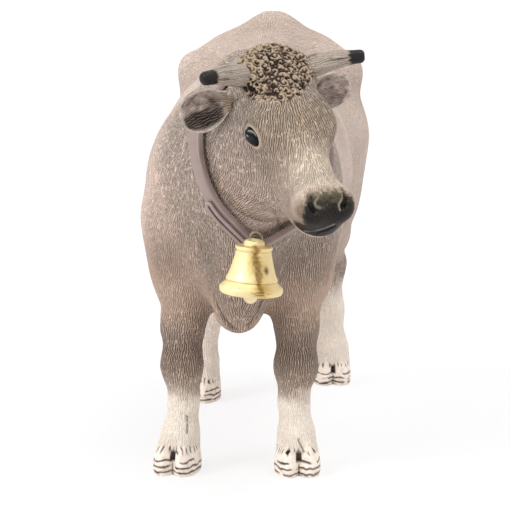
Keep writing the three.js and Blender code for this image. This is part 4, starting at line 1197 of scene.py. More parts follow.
def add_marks(skin):
    for name, (pixels, width, depth, colour, share) in MARKS.items():
        places = on_hide(pixels)
        lines = [places]
        if name in MIRRORED_MARKS:
            lines.append(mirrored(places, MIRRORED_MARKS[name]))
        for line in lines:
            near = bump(line_distance(skin.points, line), width)
            skin.relief += depth * near
            skin.coat((colour, share * near))


# Lines round a hoof: height and width in mm, the seed of their gaps, and the least noise that shows them.
HOOF_LINES = [(0.75, 0.34, 36, -0.7), (1.75, 0.34, 37, -0.5), (2.8, 0.3, 38, -0.2)]
HOOF_REACH = (8, 9, 9)


def hoof_marks(points, x, y, z):
    """How much points belong to a hoof's horn, the lines on it, the dashes over it, its cleft, and its bare
    part. The x, y and z are theirs in the hoof's frame."""
    here = (np.abs(x) < HOOF_REACH[0]) & (np.abs(y) < HOOF_REACH[1]) & (z < HOOF_REACH[2])
    wave = 0.3 * noise(points, 1.6, 31) + 0.15 * noise(points, 0.6, 32)
    horn = smooth_step(4.5, 4.0, z + wave) * here
    lines = horn * np.maximum.reduce([
        bump(z + wave - at, wide) * smooth_step(low, low + 0.3, noise(points, 2.2, seed))
        for at, wide, seed, low in HOOF_LINES
    ])
    stroke = np.abs(np.sin(15 * np.arctan2(x, -y) + 1.6 * noise(points, 1.5, 40)))
    dashes = bump(z - 4.7 + wave, 0.9) * smooth_step(0.55, 0.25, stroke) * here
    dashes *= smooth_step(-0.6, -0.1, noise(points, 1.3, 34)) * smooth_step(4, -1, y)
    # The cleft, painted shade between the claws.
    cleft = smooth_step(0.65, 0.3, np.abs(x)) * smooth_step(4.9, 4.2, z) * smooth_step(2.3, 3.0, z)
    cleft += 0.5 * smooth_step(0.22, 0.08, np.abs(x)) * smooth_step(2.6, 2.0, z)
    cleft *= smooth_step(1.5, -0.5, y) * here
    return horn, lines, dashes, cleft, smooth_step(5.6, 4.6, z + wave) * here


def add_hooves(skin):
    patches = smooth_step(0.1, 0.7, noise(skin.points, 1.1, 39))
    for _, leg in LEGS:
        for side in (1, -1):
            local = in_frame(skin.points, hoof_frame(leg, side))
            horn, lines, dashes, cleft, bare = hoof_marks(skin.points, *local.T)
            skin.coat(
                ((255, 243, 230), horn),
                ((160, 140, 120), 0.25 * horn * patches),
                ((34, 26, 21), 1.1 * lines),
                ((26, 19, 15), 1.3 * dashes),
                # Painted shade in the cleft.
                ((16, 12, 10), cleft),
            )
            skin.relief -= 0.1 * lines + 0.35 * cleft + 0.12 * dashes
            skin.fur *= 1 - bare


SKIN_STEPS = (
    add_fur, add_tints, add_leg_colours, thin_face_hair, add_shades, add_nose, add_eyes, add_marks,
    add_hooves,
)


def skin_relief(points, normals, flow):
    """How far the skin stands out at its points, its colours, its gloss and the strength of its hairs."""
    skin = Skin(points, normals, flow)
    for step in SKIN_STEPS:
        step(skin)
    return skin.relief, skin.paint, 0.55 * skin.nose, skin.fur * (1 - skin.cap) * (1 - 0.95 * skin.nose)


def carved(points, normals, relief):
    """Points moved out of the skin by its relief, with the soles left flat on the floor."""
    relief = np.where(points[:, 2] < SOLE["height"], np.minimum(relief, 0), relief)
    flat = points[:, 2] <= SOLE["flat"]
    points = points + normals * relief[:, None]
    points[flat, 2] = 0
    points[:, 2] = np.maximum(points[:, 2], 0)
    return points


def closed_part(faces, layers):
    """A part of the skin with a fan over each open rim, and the layers of its points. The first layer is
    their places, and the second their normals."""
    used, own = used_part(faces)
    layers = [one[used] for one in layers]
    caps = []
    for loop in boundary_loops(own):
        middle = len(layers[0])
        caps += [(after, before, middle) for before, after in zip(loop, loop[1:] + loop[:1])]
        corners = layers[0][loop]
        facing = np.cross(corners - corners.mean(0), np.roll(corners, -1, 0) - corners.mean(0)).sum(0)
        centre = [one[loop].mean(0) for one in layers]
        centre[1] = -unit(facing)
        layers = [np.concatenate([one, np.array([value])]) for one, value in zip(layers, centre)]
    return np.concatenate([own, np.array(caps, int).reshape(-1, 3)]), layers


def make_hide(material):
    tints = [*BODY_TINTS.values(), *HEAD_TINTS.values()]
    mark_pixels = [pixel for mark in MARKS.values() for pixel in mark[0]]
    on_hide([row[0] for row in (*HEAD_HAIR, *BODY_HAIR, *tints)] + mark_pixels)
    points, faces, flow, moulding = hide_skin()
    normals = normals_of(points, faces)
    relief, paint, gloss, hair = skin_relief(points, normals, flow)
    across = unit(np.cross(normals, flow))
    points = carved(points, normals, relief)
    layers = [points, normals_of(points, faces), paint, gloss, hair, across]
    names = ["torso", "head"] + [f"{kind}_{side}" for kind, _ in LEGS for side in ("left", "right")]
    for number, name in enumerate(names):
        own, (places, facing, *rest) = closed_part(faces[moulding == number], layers)
        make_piece(name, places, own, material, "hide", ending="hide", normals=facing,
                   **dict(zip(("paint", "gloss", "hair", "across"), rest)))


# Lofts: tubes through rings of points, as triangles with a fan at each end.

def smooth_path(nodes, steps):
    """A curve through nodes, each any row of numbers, with steps between two."""
    nodes = np.array(nodes, float)
    slope = np.gradient(nodes, axis=0)
    path = []
    for i in range(len(nodes) - 1):
        for step in range(steps):
            t = step / steps
            path.append(nodes[i] * (2 * t ** 3 - 3 * t ** 2 + 1) + slope[i] * (t ** 3 - 2 * t ** 2 + t)
                        + nodes[i + 1] * (3 * t ** 2 - 2 * t ** 3) + slope[i + 1] * (t ** 3 - t ** 2))
    return np.array(path + [nodes[-1]])


def loft(rings, closed=False, capped=True):
    """Points and triangles through rings, an array of rings by sides by 3. With closed set, the last ring
    meets the first."""
    count, sides = rings.shape[:2]
    points = rings.reshape(-1, 3)
    i, j = np.meshgrid(np.arange(count if closed else count - 1), np.arange(sides), indexing="ij")
    a, b = i * sides + j, i * sides + (j + 1) % sides
    c, d = (i + 1) % count * sides + (j + 1) % sides, (i + 1) % count * sides + j
    faces = np.concatenate([np.stack((a, b, c), -1).reshape(-1, 3), np.stack((a, c, d), -1).reshape(-1, 3)])
    if capped and not closed:
        points = np.concatenate([points, rings[[0, -1]].mean(1)])
        j = np.arange(sides)
        after, far = (j + 1) % sides, sides * (count - 1)
        start = np.stack((after, j, np.full(sides, count * sides)), 1)
        end = np.stack((j + far, after + far, np.full(sides, count * sides + 1)), 1)
        faces = np.concatenate([faces, start, end])
    corners = points[faces]
    volume = (corners[:, 0] * np.cross(corners[:, 1], corners[:, 2])).sum()
    return points, faces if volume > 0 else faces[:, ::-1]


def cross_axes(centres, hint):
    axis = unit(np.gradient(centres, axis=0))
    first = unit(np.cross(np.broadcast_to(hint, axis.shape), axis))
    return first, np.cross(axis, first)


def tube_rings(centres, radii, sides, hint=(0, 0, 1)):
    first, second = cross_axes(centres, hint)
    turn = spin(sides)
    radii = np.broadcast_to(np.asarray(radii, float).reshape(len(centres), -1), (len(centres), sides))
    return centres[:, None] + radii[..., None] * (
        first[:, None] * np.cos(turn)[None, :, None] + second[:, None] * np.sin(turn)[None, :, None])


def merge(parts):
    """Several meshes, each points and triangles, as one."""
    points, faces, start = [], [], 0
    for own_points, own_faces in parts:
        points.append(own_points)
        faces.append(own_faces + start)
        start += len(own_points)
    return np.concatenate(points), np.concatenate(faces)


def rounded(half_width, half_height, radius, steps):
    """The corners of a rounded rectangle, in order."""
    places = []
    for quarter, (sx, sy) in enumerate(((1, 1), (-1, 1), (-1, -1), (1, -1))):
        for step in range(steps + 1):
            turn = (quarter + step / steps) * WHOLE_TURN / 4
            places.append((sx * (half_width - radius) + radius * math.cos(turn),
                           sy * (half_height - radius) + radius * math.sin(turn)))
    return np.array(places)


def in_head(shares):
    return from_frame(np.asarray(shares, float) * HEAD_SCALE, HEAD_FRAME)


def run_lengths(centres):
    return np.concatenate([[0], np.cumsum(np.linalg.norm(np.diff(centres, axis=0), axis=1))])


def ring_ways(rings):
    """The ways round a loft's rings, with any for its two end points."""
    ways = np.roll(rings, -1, 1) - np.roll(rings, 1, 1)
    return unit(np.concatenate([ways.reshape(-1, 3), [(1, 0, 0), (1, 0, 0)]]))


def ring_layers(values, *ends):
    """Values of a loft's rings as one row, with those of its two end points."""
    return np.append(values.ravel(), ends)


def strands_along(centres, sides, radius, length, cell, seed):
    """Strokes along a tube, laid on a straight tube of one radius as long as it, from -1 to 1."""
    turn, along = np.broadcast_arrays(spin(sides)[None], run_lengths(centres)[:, None])
    spots = np.stack((radius * np.cos(turn), radius * np.sin(turn), along), -1).reshape(-1, 3)
    return streaks(spots, np.array((0, 0, 1)), length, cell, seed).reshape(along.shape)


# Horns.

TUBE_SIDES = 56  # of a horn, and of the tail


def make_horn(name, side, material):
    nodes = smooth_path(HORN_SHARES, 10)
    centres = in_head(nodes[:, :3] * (side, 1, 1))
    ridges = strands_along(centres, TUBE_SIDES, 1.6, 2.4, 0.5, 41 + side)
    tip = smooth_step(1.55, 1.63, nodes[:, :1] + 0.1 * ridges)
    radii = nodes[:, 3:] * HEAD_SCALE[0]
    rings = tube_rings(centres, radii * (1 + 0.08 * ridges * (1 - tip) - 0.04), TUBE_SIDES)
    points, faces = loft(rings)
    ridges, tip = ring_layers(ridges, 0, 0), ring_layers(tip, 0, 1)
    paint = coated(
        plain((176, 163, 150), points),
        ((60, 48, 38), smooth_step(0.05, 0.55, -ridges)),
        ((222, 210, 194), 0.8 * smooth_step(0.2, 0.8, ridges)),
        ((24, 24, 24), tip),
    )
    make_piece(name, points, faces, material, "horn", paint=paint,
               hair=0.3 * (1 - tip), across=ring_ways(rings), gloss=0.3 + 0.5 * tip)


# Ears.

EAR_SIDES = 44  # places across one face of the blade
EAR_SHADE = {1: 0.4, -1: 1.0}  # how dark the lower half is inside, by side


def ear_rings(root, tip, across, front):
    """Rings of a cupped blade from root to tip, with how far along and how far across each point is."""
    stations = smooth_path(EAR_WIDTH_SHARES, 8)
    place = np.sin(np.linspace(-1, 1, EAR_SIDES) * math.pi / 2)
    share, width = stations[:, :1], stations[:, 1:]
    depth = EAR["cup"] * np.sin(share * math.pi)
    half = np.sqrt(np.clip(1 - place ** 4, 0, 1)) * EAR["thickness"] / 2
    centre = root + share[..., None] * (tip - root)
    sheets = [
        centre + across * (place * EAR["width"] * width)[..., None]
        + front * (-depth * (1 - place ** 2) - out * half)[..., None]
        for out in (1, -1)
    ]
    rings = np.concatenate([sheets[0], sheets[1][:, ::-1][:, 1:-1]], 1)
    row = ring_layers(np.repeat(share.ravel(), rings.shape[1]), 0, 1)
    spread = ring_layers(np.broadcast_to(np.append(place, place[::-1][1:-1]), rings.shape[:2]), 0, 0)
    return rings, row, spread


def make_ear(name, side, material):
    root, tip = in_head(np.array((EAR["root_shares"], EAR["tip_shares"])) * (side, 1, 1))
    axis = unit(tip - root)
    facing = math.radians(-EAR["facing"][side])
    front = np.array(HEAD_FRAME)[:3, :3] @ np.array((0, -math.cos(facing), -math.sin(facing)))
    front = unit(front - axis * (front @ axis))
    across = np.cross(axis, front)
    rings, row, spread = ear_rings(root, tip, across, front)
    points, faces = loft(rings)
    normals = normals_of(points, faces)
    inner = smooth_step(-0.1, 0.25, normals @ front)
    up, edge = spread * np.sign(across[2]), np.abs(spread)
    strokes = streaks(points, axis, 1.0, 0.4, 51)
    mottle = noise(points, 0.8, 52) + 0.5 * noise(points, 0.4, 53)
    lower = smooth_step(0.05, -0.2, up - 0.3 * (row - 0.6) + 0.2 * strokes) * smooth_step(0.1, 0.25, row)
    hole = np.exp(-((row - 0.3) / 0.12) ** 2 - ((up - 0.15) / 0.42) ** 2)
    dots = smooth_step(0.1, 0.5, noise(points, 0.5, 54))
    rim = np.clip(bump(edge - 1, 0.24) + bump(row - 1, 0.1), 0, 1)
    paint = coated(
        plain((186, 166, 152), points),
        ((172, 156, 147), 0.8 * inner),
        ((60, 49, 39), 0.8 * inner * smooth_step(0.2, 0.8, mottle)),
        ((218, 202, 194), 0.85 * inner * smooth_step(0.1, 0.7, -mottle)),
        ((30, 24, 18), EAR_SHADE[side] * inner * lower * smooth_step(0.97, 0.86, edge)),
        # A dark patch near the root inside, partly painted shade in the ear's hollow.
        ((50, 32, 22), 0.95 * inner * hole),
        ((132, 116, 92), smooth_step(0.16, 0.06, row)),
        # A pale rim, partly a painted highlight on the ear's edge.
        ((236, 222, 208), 0.9 * rim),
        ((96, 80, 66), 0.5 * rim * dots),
    )
    points = points + normals * (0.1 * strokes * smooth_step(1, 0.8, edge) - 0.05)[:, None]
    make_piece(name, points, faces, material, "hide", paint=paint,
               hair=0.7 - 0.6 * rim - 0.45 * inner, across=ring_ways(rings), gloss=0 * row)


# Eyes.

def ball_rings(rows, sides):
    """Rings of a ball of radius one about the x axis."""
    fall = np.linspace(0.02, math.pi - 0.02, rows)[:, None]
    turn = spin(sides)
    return np.stack(np.broadcast_arrays(
        np.cos(fall), np.sin(fall) * np.cos(turn), np.sin(fall) * np.sin(turn)), -1)


def make_eye(name, side, material):
    points, faces = loft(ball_rings(40, 72))
    along, across = points[:, 1], points[:, 2] * side
    ring, turn = np.hypot(along, across), np.degrees(np.arctan2(along, -across))
    # A painted reflection: a grey arc round one side of the bead.
    arc = bump(ring - 0.66, 0.14) * smooth_step(-75, -50, turn) * smooth_step(48, 20, turn)
    paint = coated(
        plain((15, 15, 17), points),
        ((44, 45, 49), bump(np.hypot(along - 0.05, across - 0.08), 0.6)),
        ((165, 164, 160), 0.85 * arc),
        # A painted highlight: a light spot on the bead.
        ((190, 190, 190), 0.7 * bump(np.hypot((along + 0.36) / 0.24, (across - 0.12) / 0.14), 1)),
    )
    points = from_frame(points * EYE_RADII, EYE_FRAMES[side])
    make_piece(name, points, faces, material, "eye", paint=paint)


def eye_material():
    material, graph, shader = new_material("gloss_eye")
    fleck, paint = graph.noise(1500), graph.layer("paint", "Color")
    graph.fill(shader, {
        "Base Color": graph.mix(graph.ramp(fleck, 0.4, 0.7, 0, 0.12), paint, (70, 60, 52)),
        "Roughness": graph.ramp(fleck, 0.3, 0.7, 0.05, 0.16), "Specular IOR Level": 0.1,
    })
    return material


# Tail and udder.

TAIL_SWITCH = (39, 31)  # the heights between which the thin tail becomes its tuft


def make_tail(material):
    nodes = smooth_path([trunk_node(node) for node in TAIL_SHARES], 12)
    centres, radii = nodes[:, :3], np.maximum(nodes[:, 3:], 0.3)
    strands = strands_along(centres, TUBE_SIDES, 2, 3.2, 0.6, 61)
    switch = smooth_step(*TAIL_SWITCH, centres[:, 2])[:, None] * np.ones(TUBE_SIDES)
    radii = radii * (0.98 + (0.03 + 0.15 * switch) * strands)
    rings = tube_rings(centres, radii, TUBE_SIDES, (1, 0, 0))
    points, faces = loft(rings)
    strands, switch = ring_layers(strands, 0, 0), ring_layers(switch, 0, 1)
    paint = coated(
        plain((202, 184, 171), points),
        ((104, 84, 70), 0.85 * switch),
        ((44, 33, 26), (0.15 + 0.75 * switch) * np.clip(-strands, 0, 1)),
    )
    make_piece("tail", points, faces, material, "hide", paint=paint,
               hair=0.5 + 0.5 * switch, across=ring_ways(rings), gloss=0 * switch)


def udder_field(at, size):
    teats = []
    for side in (1, -1):
        for along in TEAT["along_shares"]:
            across = UDDER_SHARES[0][0] + side * TEAT["across_share"]
            top, end = (on_trunk((across, along, TEAT[name])) for name in ("top_share", "tip_share"))
            end[2] += TEAT["tip_radius"]
            teats.append(rod((*top, TEAT["radius"]), (*end, TEAT["tip_radius"])))
    return join([ellipsoid(at, size), *teats], TEAT["blend"])


def make_udder(material):
    at, size = on_trunk(UDDER_SHARES[0]), on_trunk(UDDER_SHARES[1])
    field = udder_field(at, size)
    points, faces = surface_net(field, at - size - 5, at + size + 2, 0.6)
    points, faces = refine(points, faces, field, lambda p: np.full(len(p), 0.4))
    normals = normals_of(points, faces)
    pores, folds = noise(points, 0.7, 71), noise(points, 2.6, 72)
    paint = coated(
        plain((226, 190, 174), points),
        ((206, 152, 138), smooth_step(*TEAT["rosy"], points[:, 2])),
        ((186, 138, 124), 0.3 * np.clip(pores, 0, 1) + 0.3 * np.clip(folds, 0, 1)),
    )
    points = points + normals * (0.03 * pores + 0.06 * folds - 0.03)[:, None]
    make_piece("udder", points, faces, material, "udder_skin", paint=paint)


# Collar, hanger, bell and clapper.

def on_collar(turn, radius, along):
    turn, radius, along = np.broadcast_arrays(np.asarray(turn, float), radius, along)
    return from_frame(np.stack((radius * np.sin(turn), -radius * np.cos(turn), along), -1), COLLAR_FRAME)


def neck_radius(turn, along):
    turn = np.asarray(turn, float)
    inside, outside = np.zeros(turn.shape), np.full(turn.shape, COLLAR["reach"])
    for _ in range(24):
        middle = (inside + outside) / 2
        within_hide = hide(on_collar(turn, middle, along)) < 0
        inside, outside = np.where(within_hide, middle, inside), np.where(within_hide, outside, middle)
    return inside


def band_radii(turn):
    turn = np.asarray(turn, float)
    low, high = neck_radius(turn, -COLLAR["width"] / 2), neck_radius(turn, COLLAR["width"] / 2)
    hang = ((1 + np.cos(turn)) / 2) ** 2
    return low, high + hang * np.maximum(0, low - high)


def strap_top(turn, along):
    low, high = band_radii(turn)
    share = (along + COLLAR["width"] / 2) / COLLAR["width"]
    return low + (high - low) * share + COLLAR["thickness"] + COLLAR["seat"]


def strap_section(half_thickness):
    """Corners of the strap's section, with further ones across its outer face."""
    round_radius, corner_steps = 0.42, 6
    section = rounded(COLLAR["width"] / 2, half_thickness, round_radius, corner_steps)
    along = np.linspace(1, -1, 15)[1:-1] * (COLLAR["width"] / 2 - round_radius)
    face = np.column_stack([along, np.full(len(along), half_thickness)])
    return np.concatenate([section[:corner_steps + 1], face, section[corner_steps + 1:]])


def make_collar(material):
    turn = spin(220)
    low, high = band_radii(turn)
    inner, outer = COLLAR["seat"] - COLLAR["groove"], COLLAR["thickness"]
    section = strap_section((outer - inner) / 2)
    along, out = section[:, 0], section[:, 1] + (outer + inner) / 2
    share = (along / COLLAR["width"] + 0.5)[None]
    crown = 0.08 * (1 - (along / COLLAR["width"] * 2) ** 2) * (section[:, 1] > 0)
    radius = low[:, None] * (1 - share) + high[:, None] * share + out + crown
    points, faces = loft(on_collar(turn[:, None], radius, along[None]), closed=True)
    turn, along = (one.ravel() for one in np.broadcast_arrays(turn[:, None], along[None]))
    turn = np.degrees((turn + math.pi) % WHOLE_TURN - math.pi)
    slot = smooth_step(HANGER["from"] - 2, HANGER["from"] + 2, turn) * smooth_step(0.62, 0.5, np.abs(along))
    paint = coated(
        plain((150, 128, 122), points),
        # Darker edges, partly painted shade where the strap meets the hide.
        ((120, 99, 94), 0.7 * smooth_step(1.25, 1.6, np.abs(along))),
        ((190, 170, 168), 0.35 * np.clip(noise(points, 5, 82), 0, 1)),
        # Painted shade in the slot between the hanger's rails.
        ((44, 33, 30), slot * smooth_step(HANGER["to"] + 6, HANGER["to"] + 2, turn)),
    )
    make_piece("collar_strap", points, faces, material, "collar_leather", paint=paint)


HANGER_BULGE = 2 * HANGER["half_width"] / COLLAR["reach"]
HANGER_TIP = math.radians(HANGER["to"]) + HANGER_BULGE


def on_hanger(along):
    turn = np.array([HANGER_TIP])
    return on_collar(turn, strap_top(turn, along) + HANGER["height"] / 2, along)[0]


PIN_AT = on_hanger(0.0) + np.array(BELL["pin_from_foot"])
BELL_FRAME = (Matrix.Translation(PIN_AT.tolist()) @ Matrix.Rotation(math.radians(BELL["lean"]), 4, "Y")
              @ Matrix.Rotation(WHOLE_TURN / 4, 4, "Z")
              @ Matrix.Translation((-BELL["eye_out"], 0, -BELL["eye_height"])))


def bar(start, end, radius):
    """A round bar with softened ends."""
    start, end = np.array(start, float), np.array(end, float)
    soft = radius * 0.25
    length = np.linalg.norm(end - start)
    share = np.array([0, soft / length * 0.3, soft / length, 1 - soft / length, 1 - soft / length * 0.3, 1])
    centres = start + share[:, None] * (end - start)
    radii = radius - soft * np.array([1, 0.3, 0, 0, 0.3, 1])
    hint = (0, 0, 1) if abs((end - start)[2]) < 0.9 * length else (1, 0, 0)
    return loft(tube_rings(centres, radii, 28, hint))


def hoop(centre, radius, thickness):
    """A ring of round section about an axis along x."""
    turn, ring = spin(48)[:, None], spin(20)[None]
    reach = radius + thickness * np.cos(ring)
    places = (thickness * np.sin(ring), np.cos(turn) * reach, np.sin(turn) * reach)
    return loft(np.stack(np.broadcast_arrays(*places), -1) + np.array(centre), closed=True)


def lathe(profile):
    """The skin of a profile of radii and heights turned about the z axis."""
    turn, radius = spin(120), profile[:, :1]
    rings = np.stack(np.broadcast_arrays(radius * np.cos(turn), radius * np.sin(turn), profile[:, 1:]), -1)
    return loft(rings, capped=False)


def hanger_path():
    """The long loop's middle line, as turns about the neck and places along it."""
    steps, end_steps = 16, 10
    start, end = math.radians(HANGER["from"]), math.radians(HANGER["to"])
    path = []
    for first, last, side in ((start, end, 1), (end, start, -1)):
        half = side * HANGER["half_width"]
        path += [(first + (last - first) * i / steps, half) for i in range(steps + 1)]
        for i in range(1, end_steps):
            turn = i / end_steps * math.pi
            path.append((last + side * HANGER_BULGE * math.sin(turn), half * math.cos(turn)))
    return np.array(path).T


def hanger_loop():
    turn, along = hanger_path()
    places = on_collar(turn, strap_top(turn, along), along)
    out = on_collar(turn, 1, 0) - on_collar(0, 0, 0)
    side = unit(np.cross(np.roll(places, -1, 0) - np.roll(places, 1, 0), out))
    section = rounded(HANGER["band_width"] / 2, HANGER["height"] / 2, 0.28, 4)
    rings = (places[:, None] + side[:, None] * section[None, :, :1]
             + out[:, None] * (section[None, :, 1:] + HANGER["height"] / 2))
    points, faces = loft(rings, closed=True)
    # Painted shade on the band's lower sides.
    flank = np.tile(smooth_step(0.1, -0.25, section[:, 1]), len(rings))
    return points, faces, coated(plain((156, 134, 130), points), ((60, 46, 43), 0.85 * flank))


def hanger_tab(pin_end):
    nodes = smooth_path([on_hanger(0.0), on_hanger(COLLAR["width"] / 2), pin_end], 8)
    ahead = unit(np.gradient(nodes, axis=0))
    across = unit(np.array((1, 0, 0)) - ahead * ahead[:, :1])
    section = rounded(HANGER["tab_width"] / 2, HANGER["tab_thickness"] / 2, 0.25, 4)
    rings = (nodes[:, None] + across[:, None] * section[None, :, :1]
             + np.cross(across, ahead)[:, None] * section[None, :, 1:])
    points, faces = loft(rings)
    # A painted highlight along the tab's edges.
    edge = smooth_step(0.8, 1.05, np.abs(np.append(np.tile(section[:, 0], len(nodes)), [0, 0])))
    return points, faces, coated(plain((34, 27, 27), points), ((96, 80, 78), 0.7 * edge))


def make_hanger(material):
    axis = np.array((0, 1, 0))
    pin_end, front = PIN_AT + axis * HANGER["pin_back"], PIN_AT - axis * HANGER["pin_front"]
    pins = merge([bar(front, pin_end, HANGER["pin_radius"]),
                  bar(front, front + axis * HANGER["head_length"], HANGER["head_radius"])])
    parts = [hanger_loop(), hanger_tab(pin_end), (*pins, plain((70, 58, 56), pins[0]))]
    points, faces = merge([part[:2] for part in parts])
    paint = np.concatenate([part[2] for part in parts])
    make_piece("bell_hanger", points, faces, material, "collar_leather", paint=paint)


# Stains on the bell, and a dark spot that is painted shade in a small hole: the turn from its front to the
# right in degrees, and heights and spreads in mm.
BELL_STREAK = {"turn": 20.0, "width": 0.8, "colour": (142, 104, 28)}
BELL_SPOT = {"turn": 44.0, "height": 4.5, "size": 0.8}
BELL_CREASE_SHARES = (0.235, 0.785, 0.87)  # of its height


def bell_solid():
    profile = smooth_path(BELL_PROFILE_SHARES, 8) * (BELL["rim_radius"], BELL["height"])
    profile[:, 0] = np.maximum(profile[:, 0], 0)
    out, height, reach = BELL["eye_out"], BELL["eye_height"], BELL["bar_reach"]
    foot = (out, 0, BELL["eye_foot_share"] * BELL["height"])
    return merge([
        lathe(profile),
        hoop((out, 0, height), BELL["eye_radius"], BELL["eye_thickness"]),
        bar(foot, (out, 0, height - BELL["eye_radius"]), BELL["eye_thickness"]),
        bar((-reach, 0, BELL["bar_height"]), (reach, 0, BELL["bar_height"]), BELL["bar_radius"]),
    ])


def bell_paint(points):
    """Gold with a brown streak, which is broken on the crown, chips by the rim, painted shade towards its
    sides, a dark spot that is painted shade in a small hole, and a dull rear.
    """
    x, y, z = points.T
    radius, turn = np.hypot(x, y), np.degrees(np.arctan2(-y, -x))
    high = z > 0.9 * BELL["height"]
    shift = 0.5 * noise(points, 2.2, 83) + 0.25 * noise(points, 0.7, 84)
    off = np.radians(turn - BELL_STREAK["turn"]) * radius + 0.5 * shift - 0.12 * (4 - z)
    wide = BELL_STREAK["width"] * (1.15 - 0.35 * np.sin(z * 0.9))
    stray = np.abs(off + 0.3 * noise(points, 0.45, 85) + 0.2 * noise(points, 0.22, 89)) / wide
    broken = smooth_step(0.25, 0.6, noise(points, 0.8, 88)) * np.exp(-(off / 1.6) ** 2)
    streak = np.where(high, broken, smooth_step(1.1, 0.1, stray))
    flecks = smooth_step(0.2, 0.55, noise(points, 0.35, 94))
    folds = smooth_step(0.25, 0.75, noise(points * (1, 1, 0.4), 1.9, 86))
    creases = np.maximum.reduce([bump(z / BELL["height"] - at, 0.02) for at in BELL_CREASE_SHARES])
    spot = np.hypot(np.radians(turn - BELL_SPOT["turn"]) * radius, (z - BELL_SPOT["height"]) * 0.7)
    chips = smooth_step(0.15, 0.4, noise(points * (1, 1, 2), 0.5, 87))
    behind = (x > BELL["eye_out"] - 1.3) & (z > BELL["eye_foot_share"] * BELL["height"]) & (radius > 1.9)
    return coated(
        plain((252, 238, 178), points),
        # Painted shade towards the bell's sides.
        ((232, 204, 134), 0.5 * smooth_step(35, 85, np.abs(turn))),
        ((238, 214, 158), 0.6 * folds),
        ((240, 206, 146), 0.5 * smooth_step(15, 40, turn) * smooth_step(90, 60, turn)),
        ((196, 160, 96), 0.6 * creases * (radius > 1)),
        ((204, 160, 74), 0.75 * np.exp(-(off / 2.2) ** 2) * bump(z - 1.4, 1.7)),
        ((206, 168, 84), 0.7 * np.exp(-(stray / 1.7) ** 2) * ~high),
        (BELL_STREAK["colour"], 0.9 * streak * smooth_step(0.2, 1.2, z)),
        ((66, 46, 14), 0.6 * streak * flecks * ~high),
        # Painted shade in a small hole.
        ((40, 28, 14), bump(spot, BELL_SPOT["size"]) * (radius > 3)),
        ((40, 28, 12), chips * np.exp(-(off / 1.5) ** 2) * bump(z - 0.7, 0.6)),
        ((118, 100, 84), 0.85 * behind),
    )


def make_bell(material):
    points, faces = bell_solid()
    places = from_frame(points, BELL_FRAME)
    make_piece("bell_shell", places, faces, material, "bell_gold", "bell", paint=bell_paint(points))


def make_clapper(material):
    height, drop, ring = BELL["bar_height"], CLAPPER["ball_drop"], CLAPPER["ring_radius"]
    points, faces = merge([
        hoop((0, 0, height), ring, CLAPPER["ring_thickness"]),
        bar((0, 0, height - ring), (0, 0, -drop), CLAPPER["stem_radius"]),
        loft(ball_rings(28, 48) * CLAPPER["ball_radius"] - np.array((0, 0, drop))),
    ])
    stains = 0.5 * np.clip(noise(points, 1.3, 91), 0, 1)
    paint = coated(plain((240, 224, 180), points), ((150, 118, 66), stains))
    points = from_frame(points, BELL_FRAME)
    make_piece("clapper", points, faces, material, "bell_gold", "clapper", paint=paint)


# Floor and light.

def seen_rays(graph):
    """One for rays that see the background from the camera, in a gloss or through glass."""
    path = graph.nodes.new("ShaderNodeLightPath")
    seen = path.outputs["Is Camera Ray"]
    for kind in ("Is Glossy Ray", "Is Transmission Ray"):
        seen = graph.math("MAXIMUM", seen, path.outputs[kind])
    return seen


FLOOR = {"reach": 20, "colour": [0.92, 0.91, 0.92, 1], "white_share": 0.75}  # metres, and a linear colour


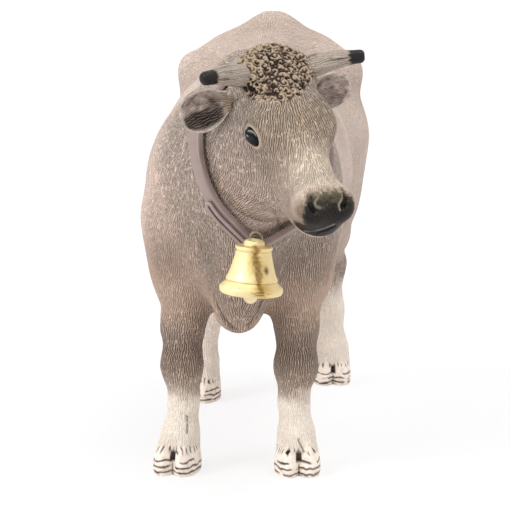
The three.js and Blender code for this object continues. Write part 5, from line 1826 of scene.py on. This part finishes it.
def add_floor():
    corners = [(x * FLOOR["reach"], y * FLOOR["reach"], 0) for x, y in ((-1, -1), (1, -1), (1, 1), (-1, 1))]
    mesh = bpy.data.meshes.new("floor")
    mesh.from_pydata(corners, [], [(0, 1, 2, 3)])
    floor = bpy.data.objects.new("floor", mesh)
    bpy.context.scene.collection.objects.link(floor)
    material, graph, shader = new_material("floor_paper")
    graph.fill(shader, {"Base Color": FLOOR["colour"], "Roughness": 0.9, "Specular IOR Level": 0.1})
    white = graph.math("MULTIPLY", seen_rays(graph), FLOOR["white_share"])
    paper = graph.add("MixShader", "Shader", {
        "Fac": white, 1: shader.outputs["BSDF"], 2: graph.add("Emission", "Emission", {})})
    graph.fill(graph.nodes["Material Output"], {"Surface": paper})
    mesh.materials.append(material)


SKY_STRENGTHS = (0.55, 0.95)  # at the horizon and overhead
LAMPS = {"top_light": (0.9, (10, 16, 0), 40), "side_light": (1.2, (55, 0, -55), 30)}  # energy, tilt and width


def add_light():
    world = bpy.data.worlds.new("studio")
    bpy.context.scene.world = world
    world.use_nodes = True
    graph = Graph(world.node_tree)
    height = graph.add("SeparateXYZ", "Z", {"Vector": graph.place("Generated")})
    glow = graph.math("MAXIMUM", graph.ramp(height, 0.0, 0.9, *SKY_STRENGTHS), seen_rays(graph))
    graph.fill(graph.nodes["Background"], {"Strength": glow, "Color": (255, 255, 255)})
    for name, (energy, tilt, angle) in LAMPS.items():
        data = bpy.data.lights.new(name, "SUN")
        data.energy, data.angle = energy, math.radians(angle)
        light = bpy.data.objects.new(name, data)
        light.rotation_euler = Euler([math.radians(one) for one in tilt])
        bpy.context.scene.collection.objects.link(light)
    bpy.context.scene.view_settings.view_transform = "Standard"


def make_all():
    add_camera()
    fur = fur_material("painted_fur")
    make_hide(fur)
    eye_finish = eye_material()
    for name, side in (("left", 1), ("right", -1)):
        make_horn(f"horn_{name}", side, fur)
        make_ear(f"ear_{name}", side, fur)
        make_eye(f"eye_{name}", side, eye_finish)
    make_tail(fur)
    make_udder(painted_material("udder_skin", 0.55, 0.03, 1800))
    leather = painted_material("satin_leather", 0.4, 0.02, 3200, tint=0.05, gloss=0.3)
    make_collar(leather)
    make_hanger(leather)
    gold = painted_material("worn_gold", 0.38, 0.03, 1500, metallic=0.3, tint=0.04, gloss=0.26)
    make_bell(gold)
    make_clapper(gold)
    add_floor()
    add_light()


make_all()
